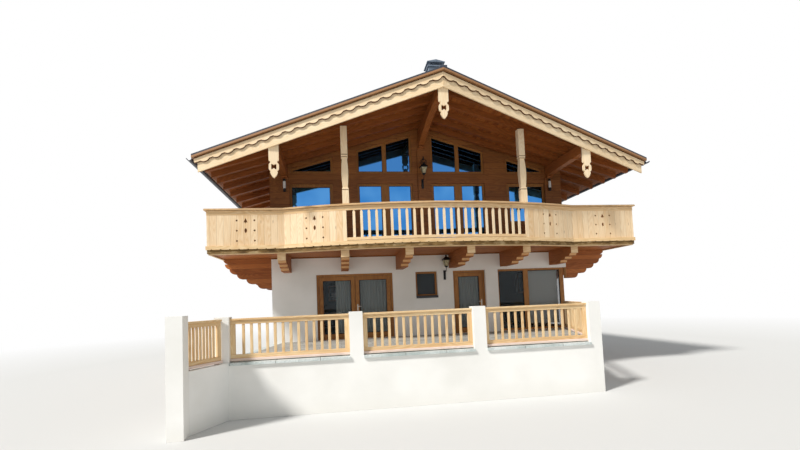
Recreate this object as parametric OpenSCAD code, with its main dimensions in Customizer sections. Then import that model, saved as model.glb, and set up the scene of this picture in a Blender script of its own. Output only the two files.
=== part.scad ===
// Alpine chalet: a rendered ground floor on a walled terrace, a timber gable
// storey behind a bowed balcony, and a wide low-pitched roof.
// Millimetres. The front wall's face is the plane y = 0 before the house is
// centred, the front looks to -Y, and z = 0 is the lowest ground.

/* [House] */
// Width of the house over the walls
house_w = 10400; // [10000:50:10800]
// Length of the house over the walls
house_l = 9600; // [9000:100:10400]
// Terrace and ground floor level above the lowest ground
terrace_z = 1300; // [1200:10:1500]
// Storey height, terrace floor to balcony floor
storey_h = 2950; // [2900:10:3050]
// Thickness of the rendered walls
wall_t = 360; // [300:10:400]
// Thickness of the timber walls
timber_t = 200; // [160:10:240]
// Thickness of the floors
floor_t = 200; // [180:10:220]

/* [Roof] */
// Height of the ridge
ridge_z = 8860; // [8820:10:8960]
// Pitch of the roof in degrees
roof_pitch = 16.5; // [16:0.25:17]
// Width of the roof covering
roof_w = 13900; // [13800:20:14000]
// Overhang of the ridge at the front
roof_front = 3500; // [3440:10:3560]
// Distance by which the front verge falls back from the ridge to the eaves
verge_sweep = 1300; // [1200:20:1400]
// Overhang of the roof at the back
roof_back = 1200; // [1000:50:1500]
// Depth of the covering with its battens
cover_t = 100; // [80:5:110]
// Thickness of the roof boarding
boarding_t = 40; // [30:5:50]
// Depth of the rafters
rafter_h = 180; // [160:10:200]
// Width of the rafters
rafter_w = 120; // [100:5:140]
// Number of rafter pairs between the gables
rafter_n = 10; // [9:1:12]
// Width of the purlins
purlin_w = 200; // [180:10:220]
// Depth of the purlins
purlin_h = 240; // [220:10:260]
// Distance of the side purlins inside the wall faces
purlin_in = 500; // [440:10:600]
// Width of the posts under the purlins
king_w = 300; // [260:10:340]
// Length of a purlin that stays plain in front of its carved knee
knee_gap = 560; // [460:20:700]
// Depth of the knee under the ridge purlin
ridge_knee_h = 400; // [340:10:460]
// Depth of the knees under the side purlins
side_knee_h = 70; // [60:5:100]
// Length of a pendant below the verge boards
pendant_l = 880; // [820:10:920]
// Width of a pendant
pendant_w = 276; // [260:4:300]
// Thickness of the verge boards
fascia_t = 45; // [25:1:50]
// Depth of the scalloped verge board
upper_fascia_h = 240; // [220:5:260]
// Depth of the plain verge board that shows below it
lower_fascia_h = 190; // [170:5:200]
// Spacing of the scallops along the verge
scallop_pitch = 352; // [320:4:380]
// Depth of a scallop
scallop_h = 52; // [35:1:55]
// Radius of the gutters
gutter_r = 75; // [65:1:80]
// Width of the chimney
chimney_w = 560; // [500:10:620]
// Height of the chimney above the ridge
chimney_rise = 2600; // [2000:50:2650]
// Distance of the chimney from the ridge
chimney_x = 850; // [800:10:900]
// Distance of the chimney behind the front wall
chimney_y = 600; // [500:20:900]

/* [Balcony] */
// Half width of the balcony
balcony_x = 6735; // [6700:5:6780]
// Depth of the balcony at its corners
balcony_y = 1675; // [1600:5:1740]
// Rise of the bow in front of the corners
bow_rise = 765; // [700:5:800]
// Half width of the bow
bow_x = 4570; // [4500:10:4650]
// Half width of the open balustrade in the bow
open_x = 2740; // [2700:10:2800]
// Length of the balcony along the side walls
balcony_side = 3000; // [2800:50:3200]
// Depth of the balcony floor
deck_t = 160; // [140:5:180]
// Height of the parapet over the balcony floor
parapet_h = 1136; // [1100:2:1150]
// Thickness of the parapet boards
board_t = 35; // [30:1:40]
// Height of the carved moulding at the parapet's foot
trim_h = 110; // [80:5:150]
// Number of balusters
baluster_n = 24; // [22:1:25]
// Width of a baluster
baluster_w = 75; // [60:1:80]
// Width of the console beams
console_w = 240; // [200:5:260]
// Depth of the console beams
console_h = 240; // [220:5:260]
// Spacing of the console beams
console_pitch = 1870; // [1840:5:1900]
// Distance of the console beams behind the balcony's face
console_back = 160; // [120:5:200]
// Depth of one tier of the corbels
tier_h = 90; // [80:2:96]
// Number of beams in a side bracket
bracket_n = 6; // [5:1:6]
// Width of the side brackets
bracket_w = 200; // [160:10:220]

/* [Terrace] */
// Depth of the terrace
terrace_y = 4350; // [4300:10:4450]
// Left end of the terrace front
terrace_left = 5840; // [5800:10:5900]
// Right end of the terrace front
terrace_right = 3600; // [3560:10:3650]
// Thickness of the terrace walls
terrace_wall_t = 300; // [280:10:320]
// Width of the terrace posts
post_w = 320; // [300:5:330]
// Height of the terrace posts over the floor
post_h = 1000; // [980:5:1050]
// Height of the terrace rail over the floor
rail_h = 960; // [940:5:970]
// Number of balusters in a terrace panel
rail_n = 13; // [11:1:15]
// Width of the terrace balusters
batten_w = 64; // [56:2:72]

/* [Openings] */
// Height of the doors on the ground floor
door_h = 2190; // [2150:5:2220]
// Distance of the double door from the left corner
double_in = 1440; // [1400:10:1500]
// Width of the double door
double_w = 2580; // [2500:10:2600]
// Width of the small window
window_w = 770; // [700:10:800]
// Height of the small window
window_h = 860; // [800:10:900]
// Distance of the terrace door from the right corner
single_in = 4250; // [4200:10:4300]
// Width of the terrace door
single_w = 1180; // [1100:10:1200]
// Length of the corner window along the front
corner_front = 2610; // [2550:10:2650]
// Length of the corner window round the side
corner_side = 1500; // [1200:50:1800]
// Gap round a door leaf
leaf_gap = 10; // [9.5:0.5:12]
// Width of the frame bars
bar_w = 70; // [60:1:80]
// Depth of the frame bars
bar_t = 80; // [70:1:90]
// Thickness of the glass
glass_t = 24; // [20:1:30]
// Width of the stiles of a door leaf
stile_w = 130; // [100:5:150]

/* [Gable lights] */
// Width of the timber wall under the ridge
ridge_wall_w = 680; // [620:10:740]
// Width of the lights beside it
inner_w = 1940; // [1840:10:2000]
// Width of the post between their two casements
mullion_w = 270; // [220:10:300]
// Distance of the outer lights from the corners
outer_in = 610; // [560:10:660]
// Width of the outer lights
outer_w = 1490; // [1400:10:1550]
// Height of the balcony lights over the floor
light_h = 2340; // [2300:10:2380]
// Height of the beam over them
light_beam_h = 370; // [330:10:400]

/* [Hidden] */
$fn = 48;
hx = house_w / 2;
deck_z = terrace_z + storey_h;
roof_x = roof_w / 2;
slope = tan(roof_pitch);
rafter_off = cover_t + boarding_t;
purlin_off = rafter_off + rafter_h;
roof_y0 = -roof_front;
rake = verge_sweep / roof_x;
verge_k = sqrt(1 + rake * rake);
roof_y1 = house_l + roof_back;
verge_lap = 60;
wing_y = 5660;
front_y = -(roof_y1 + verge_lap - wing_y) / 2;
joint = 4;
seat = 0.3;
purlin_x = hx - purlin_in;
double_x = -hx + double_in;
window_x = -window_w / 2;
single_x = hx - single_in;
corner_x = hx - corner_front;
bow_r = (bow_x * bow_x + bow_rise * bow_rise) / (2 * bow_rise);
bow_cy = -balcony_y - bow_rise + bow_r;
bow_a = asin(bow_x / bow_r);
open_a = asin(open_x / bow_r);
rail_z = deck_z + parapet_h;
door_y = 120;
head_z = terrace_z + door_h;
sill_z = head_z - window_h;
leaf_t = 68;
post_y = -balcony_y - bow_rise + 335;

render_white = [0.94, 0.94, 0.95];
larch = [0.93, 0.80, 0.62];
timber = [0.42, 0.26, 0.14];
soffit = [0.52, 0.29, 0.15];
iron = [0.2, 0.2, 0.22];

// Centres the house on the origin
module placed() { translate([0, front_y, 0]) children(); }

// Height of the roof's top face
function roof_top(x) = ridge_z - abs(x) * slope;

// Front face of the verge boards at x, swept forward to the ridge
function verge_y(x) = roof_y0 + rake * abs(x);

// Keeps what lies between two depths behind the front verge's face
module behind_verge(d0, d1 = 2 * house_l) {
    w = roof_x + verge_lap;
    intersection() {
        children();
        linear_extrude(height = 2 * ridge_z) polygon([
            [-w, verge_y(w) + d0 * verge_k], [0, roof_y0 + d0 * verge_k], [w, verge_y(w) + d0 * verge_k],
            [w, verge_y(w) + d1 * verge_k], [0, roof_y0 + d1 * verge_k], [-w, verge_y(w) + d1 * verge_k]]);
    }
}

// An outline in the plane of the front, given depth from y0 back to y1
module upright(y0, y1) {
    translate([0, y1, 0]) rotate([90, 0, 0]) linear_extrude(height = y1 - y0) children();
}

// Cross-section of a roof layer between two depths below the top face
module roof_layer(half, top, bottom) {
    polygon([[-half, roof_top(half) - top], [0, ridge_z - top], [half, roof_top(half) - top],
             [half, roof_top(half) - bottom], [0, ridge_z - bottom], [-half, roof_top(half) - bottom]]);
}

// Cross-section of one slope's layer, plumb cut at the ridge
module slope_layer(half, top, bottom) {
    polygon([[joint / 2, roof_top(joint / 2) - top], [half, roof_top(half) - top],
             [half, roof_top(half) - bottom], [joint / 2, roof_top(joint / 2) - bottom]]);
}

// A box given by its corners
module box(a, b) { translate(a) cube(b - a); }

// Evenly spaced places from the first to the last
function spread(a, b, n) = [for (i = [0:n - 1]) a + i * (b - a) / (n - 1)];

// Side view of a beam whose lower front end is rounded, its back at the origin
module tier(l, h) {
    translate([-l + h, 0]) square([l - h, h]);
    intersection() {
        translate([-l + h, h]) circle(r = h);
        translate([-l, 0]) square([h, h]);
    }
}

// Mirrored copy beside the original
module both_sides() {
    children();
    mirror([1, 0, 0]) children();
}

// Windows of the hidden sides, all of one width
plain_w = 1200;
plain_y = [house_l * 0.27, house_l * 0.625];
plain_x = [-house_w * 0.345, -plain_w / 2, house_w * 0.345 - plain_w];
gable_x = 900;

// Walls and floors

module foundation() {
    color(render_white) placed() difference() {
        box([-hx, 0, 0], [hx, house_l, terrace_z]);
        box([-hx + wall_t, wall_t, -1], [hx - wall_t, house_l - wall_t, terrace_z + 1]);
    }
}

module ground_floor() {
    color([0.6, 0.58, 0.55]) placed()
        box([-hx + wall_t, wall_t, terrace_z - floor_t], [hx - wall_t, house_l - wall_t, terrace_z]);
}

module front_wall_left() {
    color(render_white) placed() box([-hx, 0, terrace_z], [double_x, wall_t, head_z]);
}

module front_wall_middle() {
    color(render_white) placed() difference() {
        box([double_x + double_w, 0, terrace_z], [single_x, wall_t, head_z]);
        box([window_x, -1, sill_z], [window_x + window_w, wall_t + 1, head_z + 1]);
    }
}

module front_wall_right() {
    color(render_white) placed() box([single_x + single_w, 0, terrace_z], [corner_x, wall_t, head_z]);
}

module front_wall_head() {
    color(render_white) placed() box([-hx, 0, head_z], [hx, wall_t, deck_z - floor_t]);
}

module side_walls() {
    color(render_white) placed() {
        difference() {
            box([-hx, wall_t, terrace_z], [-hx + wall_t, house_l - wall_t, deck_z - floor_t]);
            for (y = plain_y) box([-hx - 1, y, sill_z], [-hx + wall_t + 1, y + plain_w, head_z]);
        }
        difference() {
            box([hx - wall_t, wall_t, terrace_z], [hx, house_l - wall_t, deck_z - floor_t]);
            box([hx - wall_t - 1, wall_t - 1, terrace_z - 1], [hx + 1, corner_side, head_z]);
            for (y = plain_y) box([hx - wall_t - 1, y, sill_z], [hx + 1, y + plain_w, head_z]);
        }
    }
}

module back_wall() {
    color(render_white) placed() difference() {
        box([-hx, house_l - wall_t, terrace_z], [hx, house_l, deck_z - floor_t]);
        for (x = plain_x)
            box([x, house_l - wall_t - 1, sill_z], [x + plain_w, house_l + 1, head_z]);
    }
}

module upper_floor() {
    color(timber) placed() box([-hx, 0, deck_z - floor_t], [hx, house_l, deck_z]);
}

// Gable storey

bay_inner = [ridge_wall_w / 2, ridge_wall_w / 2 + inner_w];
bay_outer = [hx - outer_in - outer_w, hx - outer_in];
bay_mid = (bay_inner[0] + bay_inner[1]) / 2;
light_z = deck_z + light_h;
transom_z = light_z + light_beam_h;
bay_sill_z = deck_z + 850;
transom_off = 420;
bay_tip = bay_outer[1] - 80;
post_proud = 60;

// Outline of a transom light under the slope
module transom(x0, x1, inset = 0) {
    z0 = transom_z + inset;
    drop = transom_off + inset;
    tip = (ridge_z - drop - z0) / slope;
    end = x1 - inset;
    left = [[x0 + inset, z0], [x0 + inset, roof_top(x0 + inset) - drop]];
    polygon(concat(left, tip < end ? [[tip, z0]] : [[end, roof_top(end) - drop], [end, z0]]));
}

module gable_outline() {
    top = rafter_off + seat;
    polygon([[-hx, deck_z], [hx, deck_z], [hx, roof_top(hx) - top],
             [0, ridge_z - top], [-hx, roof_top(hx) - top]]);
}

// Underside of the purlin at x
function purlin_z(x) = roof_top(abs(x) + purlin_w / 2) - purlin_off - purlin_h;

// The three purlins, their tops planed to the slopes
module purlin_section() {
    top = purlin_off + seat;
    half = purlin_w / 2;
    for (x = [-purlin_x, 0, purlin_x])
        polygon([[x - half, purlin_z(x)], [x + half, purlin_z(x)], [x + half, roof_top(x + half) - top],
                 [x, roof_top(x) - top], [x - half, roof_top(x - half) - top]]);
}

// Depth of the carved knee under the purlin at x, and of its foot
function knee_h(x) = x == 0 ? ridge_knee_h : side_knee_h;
knee_foot = 50;

module front_gable() {
    color(timber) placed() {
        upright(0, timber_t) difference() {
            gable_outline();
            purlin_section();
            both_sides() {
                translate([bay_inner[0], deck_z - 1]) square([inner_w, light_h + 1]);
                translate([bay_outer[0], bay_sill_z]) square([outer_w, light_z - bay_sill_z]);
                transom(bay_inner[0], bay_inner[1]);
                transom(bay_outer[0], bay_tip);
            }
        }
        for (x = [-purlin_x, 0, purlin_x])
            box([x - king_w / 2, -post_proud, deck_z],
                [x + king_w / 2, 1, purlin_z(x) - knee_h(x) - knee_foot]);
    }
}

module back_gable() {
    color(timber) placed() upright(house_l - timber_t, house_l) difference() {
        gable_outline();
        purlin_section();
        both_sides() translate([gable_x, bay_sill_z]) square([plain_w, light_z - bay_sill_z]);
    }
}

module upper_side_walls() {
    top = rafter_off + seat;
    color(timber) placed() both_sides() difference() {
        upright(timber_t, house_l - timber_t)
            polygon([[hx - timber_t, deck_z], [hx, deck_z], [hx, roof_top(hx) - top],
                     [hx - timber_t, roof_top(hx - timber_t) - top]]);
        rafter_set(house_rafters);
        for (y = plain_y) box([hx - timber_t - 1, y, bay_sill_z], [hx + 1, y + plain_w, light_z]);
    }
}

// Doors and windows

// A frame of four bars in the plane of the front
module frame(x, z, w, h, bar = bar_w, t = bar_t, y = door_y) {
    translate([0, y, 0]) difference() {
        box([x, 0, z], [x + w, t, z + h]);
        box([x + bar, -1, z + bar], [x + w - bar, t + 1, z + h - bar]);
    }
}

leaf_y = door_y + 6;
leaf_z0 = terrace_z + 50;
leaf_z1 = head_z - bar_w - leaf_gap;
double_mid = double_x + double_w / 2;
double_leaf = double_w / 2 - bar_w - leaf_gap * 1.75;
single_leaf = single_w - 2 * bar_w - 2 * leaf_gap;

hinge_y = door_y + bar_t + 14;
hinge_r = 8;
pin_r = 4.5;
hinge_h = 100;
hinge_z = [leaf_z0 + 200, leaf_z1 - 300];

// Fixed half of a hinge: knuckle, upright pin and plate on the frame
module hinge_pin(z, side) {
    translate([0, hinge_y, z]) {
        cylinder(r = hinge_r, h = hinge_h / 2);
        cylinder(r = pin_r, h = hinge_h - 10);
        box([side > 0 ? -40 : -3, door_y + bar_t - hinge_y, 0],
            [side > 0 ? 3 : 40, -hinge_r + 5, hinge_h / 2]);
    }
}

// Moving half of a hinge: a capped knuckle on the pin and an arm to the leaf
module hinge_knuckle(z, side) {
    translate([0, hinge_y, z]) difference() {
        union() {
            translate([0, 0, hinge_h / 2 + 1]) cylinder(r = hinge_r, h = hinge_h / 2);
            box([side > 0 ? 0 : -40, leaf_y + leaf_t - hinge_y, hinge_h / 2 + 1],
                [side > 0 ? 40 : 0, -1, hinge_h + 1]);
        }
        cylinder(r = pin_r + 0.3, h = hinge_h - 9.7);
    }
}

// A glazed leaf hung at its left edge (side 1) or its right edge (side -1)
module leaf(x, w, side) {
    translate([0, leaf_y, 0]) difference() {
        box([x, 0, leaf_z0], [x + w, leaf_t, leaf_z1]);
        box([x + stile_w, -1, leaf_z0 + stile_w], [x + w - stile_w, leaf_t + 1, leaf_z1 - stile_w]);
    }
    for (z = hinge_z) translate([side > 0 ? x - leaf_gap / 2 : x + w + leaf_gap / 2, 0, 0])
        hinge_knuckle(z, side);
}
module leaf_pane(x, w) {
    translate([0, leaf_y + (leaf_t - glass_t) / 2, 0])
        box([x + stile_w, 0, leaf_z0 + stile_w], [x + w - stile_w, glass_t, leaf_z1 - stile_w]);
}

left_leaf_x = double_x + bar_w + leaf_gap;
right_leaf_x = double_mid + leaf_gap * 0.75;
single_leaf_x = single_x + bar_w + leaf_gap;

module door_frames() {
    color(timber) placed() {
        for (d = [[double_x, double_w], [single_x, single_w]]) translate([0, door_y, 0])
            difference() {
                box([d[0], 0, terrace_z], [d[0] + d[1], bar_t, head_z]);
                box([d[0] + bar_w, -1, terrace_z + 40], [d[0] + d[1] - bar_w, bar_t + 1, head_z - bar_w]);
            }
        for (z = hinge_z) {
            translate([left_leaf_x - leaf_gap / 2, 0, 0]) hinge_pin(z, 1);
            translate([right_leaf_x + double_leaf + leaf_gap / 2, 0, 0]) hinge_pin(z, -1);
            translate([single_leaf_x - leaf_gap / 2, 0, 0]) hinge_pin(z, 1);
        }
    }
}

module double_door_left() { color(timber) placed() leaf(left_leaf_x, double_leaf, 1); }
module double_left_glass() { color([0.5, 0.6, 0.65]) placed() leaf_pane(left_leaf_x, double_leaf); }
module double_door_right() { color(timber) placed() leaf(right_leaf_x, double_leaf, -1); }
module double_right_glass() { color([0.5, 0.6, 0.65]) placed() leaf_pane(right_leaf_x, double_leaf); }
module terrace_door() { color(timber) placed() leaf(single_leaf_x, single_leaf, 1); }
module terrace_door_glass() { color([0.5, 0.6, 0.65]) placed() leaf_pane(single_leaf_x, single_leaf); }

corner_w = hx - corner_x;
corner_mid = corner_x + 1000;
corner_post = 140;
gable_y = 60;
outer_bar = 110;

// Frame or pane of a window in a side wall, drawn as if in the front and turned
module side_window(x, y, z, w, h, glass = false) {
    translate([x, y, 0]) rotate([0, 0, 90]) if (glass) {
        box([bar_w, -bar_t / 2 - glass_t / 2, z + bar_w],
            [w - bar_w, -bar_t / 2 + glass_t / 2, z + h - bar_w]);
    } else {
        frame(0, z, w, h, bar_w, bar_t, -bar_t);
    }
}

// Every plain window of the sides and the back
module plain_windows(glass = false) {
    both_sides() for (y = plain_y) {
        side_window(hx - wall_t + 120, y, sill_z, plain_w, window_h, glass);
        side_window(hx - timber_t + 60, y, bay_sill_z, plain_w, light_z - bay_sill_z, glass);
    }
    mid = (bar_t - glass_t) / 2;
    for (x = plain_x) if (glass) {
        box([x + bar_w, house_l - 240 + mid, sill_z + bar_w],
            [x + plain_w - bar_w, house_l - 240 + mid + glass_t, head_z - bar_w]);
    } else {
        frame(x, sill_z, plain_w, window_h, bar_w, bar_t, house_l - 240);
    }
    both_sides() if (glass) {
        box([gable_x + bar_w, house_l - 140 + mid, bay_sill_z + bar_w],
            [gable_x + plain_w - bar_w, house_l - 140 + mid + glass_t, light_z - bar_w]);
    } else {
        frame(gable_x, bay_sill_z, plain_w, light_z - bay_sill_z, bar_w, bar_t, house_l - 140);
    }
}

// Frame of a pair of lights and the transoms over them, drawn for one side
module gable_frame() {
    frame(bay_outer[0], bay_sill_z, outer_w, light_z - bay_sill_z, outer_bar, bar_t, gable_y);
    frame(bay_inner[0], deck_z, inner_w, light_h, bar_w, bar_t, gable_y);
    box([bay_mid - mullion_w / 2, gable_y, deck_z + bar_w],
        [bay_mid + mullion_w / 2, gable_y + bar_t, light_z - bar_w]);
    upright(gable_y, gable_y + bar_t) {
        difference() {
            transom(bay_inner[0], bay_inner[1]);
            difference() {
                transom(bay_inner[0], bay_inner[1], bar_w);
                translate([bay_mid - bar_w, transom_z]) square([2 * bar_w, ridge_z - transom_z]);
            }
        }
        difference() {
            transom(bay_outer[0], bay_tip);
            transom(bay_outer[0], bay_tip, bar_w);
        }
    }
}

module window_frames() {
    color(timber) placed() {
        frame(window_x, sill_z, window_w, window_h);
        frame(corner_x, terrace_z, corner_w - corner_post, door_h, bar_w, bar_t, door_y);
        box([corner_mid, door_y, terrace_z + bar_w], [corner_mid + 180, door_y + bar_t, head_z - bar_w]);
        side_window(hx - corner_post, door_y, terrace_z, corner_side - door_y, door_h);
        plain_windows();
        both_sides() gable_frame();
    }
}

module window_glass() {
    color([0.4, 0.6, 0.8]) placed() {
        box([window_x + bar_w, door_y + 28, sill_z + bar_w],
            [window_x + window_w - bar_w, door_y + 28 + glass_t, head_z - bar_w]);
        for (x = [[corner_x + bar_w, corner_mid], [corner_mid + 180, hx - corner_post - bar_w]])
            box([x[0], door_y + 28, terrace_z + bar_w], [x[1], door_y + 28 + glass_t, head_z - bar_w]);
        side_window(hx - corner_post, door_y, terrace_z, corner_side - door_y, door_h, true);
        plain_windows(true);
        both_sides() upright(gable_y + 28, gable_y + 28 + glass_t) {
            difference() {
                union() {
                    transom(bay_inner[0], bay_inner[1], bar_w);
                    translate([bay_inner[0] + bar_w, deck_z + bar_w])
                        square([inner_w - 2 * bar_w, light_h - 2 * bar_w]);
                }
                translate([bay_mid - bar_w, transom_z]) square([2 * bar_w, ridge_z - transom_z]);
                translate([bay_mid - mullion_w / 2, deck_z]) square([mullion_w, light_h]);
            }
            transom(bay_outer[0], bay_tip, bar_w);
            translate([bay_outer[0] + outer_bar, bay_sill_z + outer_bar])
                square([outer_w - 2 * outer_bar, light_z - bay_sill_z - 2 * outer_bar]);
        }
    }
}

// Balcony

// Plan of the balcony, held back from its edge
module balcony_plan(back = 0) {
    difference() {
        union() {
            translate([-balcony_x + back, -balcony_y + back])
                square([2 * (balcony_x - back), balcony_y + balcony_side - 2 * back]);
            intersection() {
                translate([0, bow_cy]) circle(r = bow_r - back, $fn = 360);
                translate([-balcony_x, -balcony_y - bow_rise]) square([2 * balcony_x, bow_rise + back + 1]);
            }
        }
        translate([-hx, 0]) square([house_w, house_l]);
    }
}

module balcony_deck() {
    color(soffit) placed() translate([0, 0, deck_z - deck_t])
        linear_extrude(height = deck_t) balcony_plan(board_t);
}

// Face of the balcony in front of x
function balcony_face(x) = x < bow_x ? bow_cy - sqrt(bow_r * bow_r - x * x) : -balcony_y;

// Part of its length by which each tier of a corbel falls back
tier_step = 0.2;

module balcony_consoles() {
    z1 = deck_z - deck_t;
    z0 = z1 - console_h;
    color(soffit) placed() both_sides() for (x = console_pitch * [0.5, 1.5, 2.5]) {
        l = -balcony_face(x) - console_back;
        box([x - console_w / 2, -l, z0], [x + console_w / 2, 0, z1]);
        translate([x + console_w / 2, 0, 0]) rotate([90, 0, -90]) mirror([1, 0, 0])
            linear_extrude(height = console_w) for (i = [0:2])
                translate([0, z0 - (i + 1) * tier_h])
                    tier(l * (1 - tier_step * (i + 0.3)), tier_h + 1);
    }
}

// Height of a side bracket, and how fast its beams fall back, as degrees of a circle
bracket_h = 1000;
bracket_turn = 14.5;

module side_brackets() {
    z1 = deck_z - deck_t;
    h = bracket_h / bracket_n;
    reach = balcony_x - hx - 20;
    color(soffit) placed() both_sides() for (y = spread(0, balcony_side - bracket_w - 40, 3))
        upright(y, y + bracket_w) translate([hx, z1 - bracket_h]) mirror([1, 0]) for (i = [0:bracket_n - 1])
            translate([0, bracket_h - (i + 1) * h])
                tier(reach * cos(i * bracket_turn), h + (i > 0 ? 1 : 0));
}

// Part of the balcony's edge between two depths from its face
module edge_band(face, back, z0, z1) {
    translate([0, 0, z0]) linear_extrude(height = z1 - z0) difference() {
        balcony_plan(face);
        balcony_plan(back);
    }
}

// The middle of the bow, between the two carved posts
module open_sector() {
    reach = bow_r + 500;
    polygon([[0, bow_cy], [-reach * sin(open_a), bow_cy - reach * cos(open_a)],
             [reach * sin(open_a), bow_cy - reach * cos(open_a)]]);
}

board_z0 = deck_z + 30;
board_z1 = rail_z - 186;

// Pierced ornament of a parapet panel: six dots round a fir tree and a leaf
module ornament() {
    for (x = [-250, 250], z = [-300, 0, 300]) translate([x, z]) circle(r = 27);
    translate([0, 240]) {
        for (z = [0, 40]) translate([0, z]) polygon([[-60 + z / 2, 0], [60 - z / 2, 0], [0, 90]]);
        translate([-12, -25]) square([24, 26]);
    }
    intersection() {
        translate([-62, 0]) circle(r = 98);
        translate([62, 0]) circle(r = 98);
    }
}

module balcony_boards() {
    mid_z = (board_z0 + board_z1) / 2;
    color(larch) placed() difference() {
        edge_band(0, board_t, board_z0, board_z1);
        translate([0, 0, board_z0 - 1]) linear_extrude(height = board_z1 - board_z0 + 2) open_sector();
        both_sides() {
            translate([(bow_x + balcony_x) / 2, 0, mid_z])
                upright(-balcony_y - 1, -balcony_y + board_t + 1) ornament();
            translate([0, bow_cy, mid_z]) rotate([0, 0, (open_a + bow_a) / 2])
                upright(-bow_r - 40, -bow_r + board_t + 60) ornament();
        }
    }
}

// A flat baluster with a waisted neck, drawn from its foot
module baluster_outline(h) {
    neck = baluster_w * 0.28;
    difference() {
        translate([-baluster_w / 2, 0]) square([baluster_w, h]);
        for (s = [-1, 1]) translate([s * (neck + neck_r), h]) circle(r = neck_r);
    }
}
neck_r = 110;

module balcony_balusters() {
    pitch = 2 * open_a / (baluster_n + 1);
    foot = board_z0 + 120;
    color(larch) placed() for (i = [1:baluster_n])
        translate([0, bow_cy, foot]) rotate([0, 0, -open_a + i * pitch])
            upright(-bow_r + 6, -bow_r + 36) baluster_outline(board_z1 - foot);
}

module balcony_rails() {
    color(larch) placed() {
        edge_band(-60, 90, rail_z - 56, rail_z);
        edge_band(0, 60, board_z1, rail_z - 56);
        intersection() {
            edge_band(0, 60, board_z0, board_z0 + 120);
            translate([0, 0, board_z0]) linear_extrude(height = 120) open_sector();
        }
    }
}

// A child at even steps along one side's half of the balcony's edge, facing outward
module along_edge(pitch) {
    bow_l = bow_a * PI / 180 * bow_r;
    side_l = balcony_y + balcony_side;
    for (s = spread(pitch / 2, bow_l - pitch / 2, round(bow_l / pitch)))
        translate([0, bow_cy, 0]) rotate([0, 0, s / bow_r * 180 / PI]) translate([0, -bow_r, 0])
            children();
    for (x = spread(bow_x + pitch, balcony_x - pitch / 2, round((balcony_x - bow_x) / pitch)))
        translate([x, -balcony_y, 0]) children();
    for (y = spread(-balcony_y + pitch / 2, balcony_side - pitch / 2, round(side_l / pitch)))
        translate([balcony_x, y, 0]) rotate([0, 0, 90]) children();
}

// The carved moulding at the foot of the parapet, notched along its lower edge
module balcony_trim() {
    z0 = board_z0 + 20 - trim_h;
    color(larch) placed() difference() {
        edge_band(-30, 0, z0, board_z0 + 20);
        both_sides() along_edge(notch_pitch) upright(-40, 20)
            translate([0, z0 - notch_r / 4]) rotate(40) circle(r = notch_r);
    }
}
notch_pitch = 260;
notch_r = 24;

// Half width of a post at a share t of its swelling shaft
function swell(t) = t < 0.5
    ? post_foot_neck + (post_belly - post_foot_neck) * sin(180 * t)
    : post_head_neck + (post_belly - post_head_neck) * sin(180 * t);

// Right-hand outline of a carved post: block, groove and collar, swelling shaft, two grooves, head
function post_outline(half, top) = concat(
    [[0, 0], [half, 0]], groove(half, post_ring_z[0]),
    [[half, post_ring_z[0] + post_collar], [swell(0), post_ring_z[0] + post_collar + 25]],
    [for (t = [0.1:0.1:0.9]) [swell(t), post_ring_z[0] + 75 + t * (post_ring_z[1] - post_ring_z[0] - 100)]],
    [[swell(1), post_ring_z[1] - 25], [half, post_ring_z[1] - groove_h / 2 - 2]],
    groove(half, post_ring_z[1]), groove(half, post_ring_z[2]), [[half, top], [0, top]]);

// A groove cut round a post at height z
function groove(half, z) = [[half, z - groove_h / 2], [half - groove_d, z - groove_h / 2 + 4],
                            [half - groove_d, z + groove_h / 2 - 4], [half, z + groove_h / 2]];

// The two square posts of the bow, carved alike on all four faces
module carved_posts() {
    half = post_head / 2;
    top = roof_top(open_x + half) - purlin_off - rail_z - seat;
    outline = post_outline(half, top);
    color(larch) placed() both_sides() translate([open_x, post_y, rail_z])
        intersection_for (a = [0, 90]) rotate([0, 0, a]) upright(-half - 10, half + 10)
            for (m = [0, 1]) mirror([m, 0]) polygon(outline);
}
post_head = 190;
post_ring_z = [415, 1390, 1465];
post_collar = 45;
post_foot_neck = 74;
post_head_neck = 71;
post_belly = 97;
groove_h = 24;
groove_d = 15;

// Roof

// Front end of the purlin at x, behind its drop board
function purlin_front(x) = verge_y(abs(x) + pendant_w / 2) + 2 * fascia_t * verge_k + pendant_t;
pendant_t = 50;

// Side view of the carved knee that carries a purlin out over the balcony
module knee_outline(d, l) {
    r = (l * l + d * d) / (2 * d);
    difference() {
        translate([-l, -d]) square([l, d]);
        translate([-l, -r]) circle(r = r, $fn = 180);
    }
    translate([-170, -d - knee_foot]) square([170, knee_foot + 1]);
    translate([-170, -d - knee_foot / 2]) circle(r = knee_foot / 2);
    translate([-l - 40, 0]) mirror([0, 1]) square([60, 30]);
}

module roof_purlins() {
    color(soffit) placed() {
        for (x = [-purlin_x, 0, purlin_x]) intersection() {
            upright(purlin_front(x), roof_y1 - 2 * fascia_t - pendant_t) purlin_section();
            box([x - purlin_w, purlin_front(x), 0], [x + purlin_w, roof_y1, ridge_z]);
        }
        for (x = [-purlin_x, 0, purlin_x]) translate([x + purlin_w / 2, 0, purlin_z(x) + 1])
            rotate([90, 0, -90]) mirror([1, 0, 0]) linear_extrude(height = purlin_w)
                knee_outline(knee_h(x) + 1, -purlin_front(x) - knee_gap);
    }
}

// Front faces of the rafters: in the front overhang with one on the posts, in the house, behind it
verge_gap = 160;
rafter_pitch = 635;
front_rafters = [for (i = [-1:3]) post_y - rafter_w / 2 + i * rafter_pitch];
house_rafters = spread(timber_t + 300, house_l - timber_t - 300 - rafter_w, rafter_n);
back_rafters = spread(house_l + 340, roof_y1 - verge_gap - rafter_w, 2);

module rafter_set(places) {
    for (y = places) both_sides() upright(y, y + rafter_w)
        slope_layer(roof_x - 150, rafter_off + seat, purlin_off);
}

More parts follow.
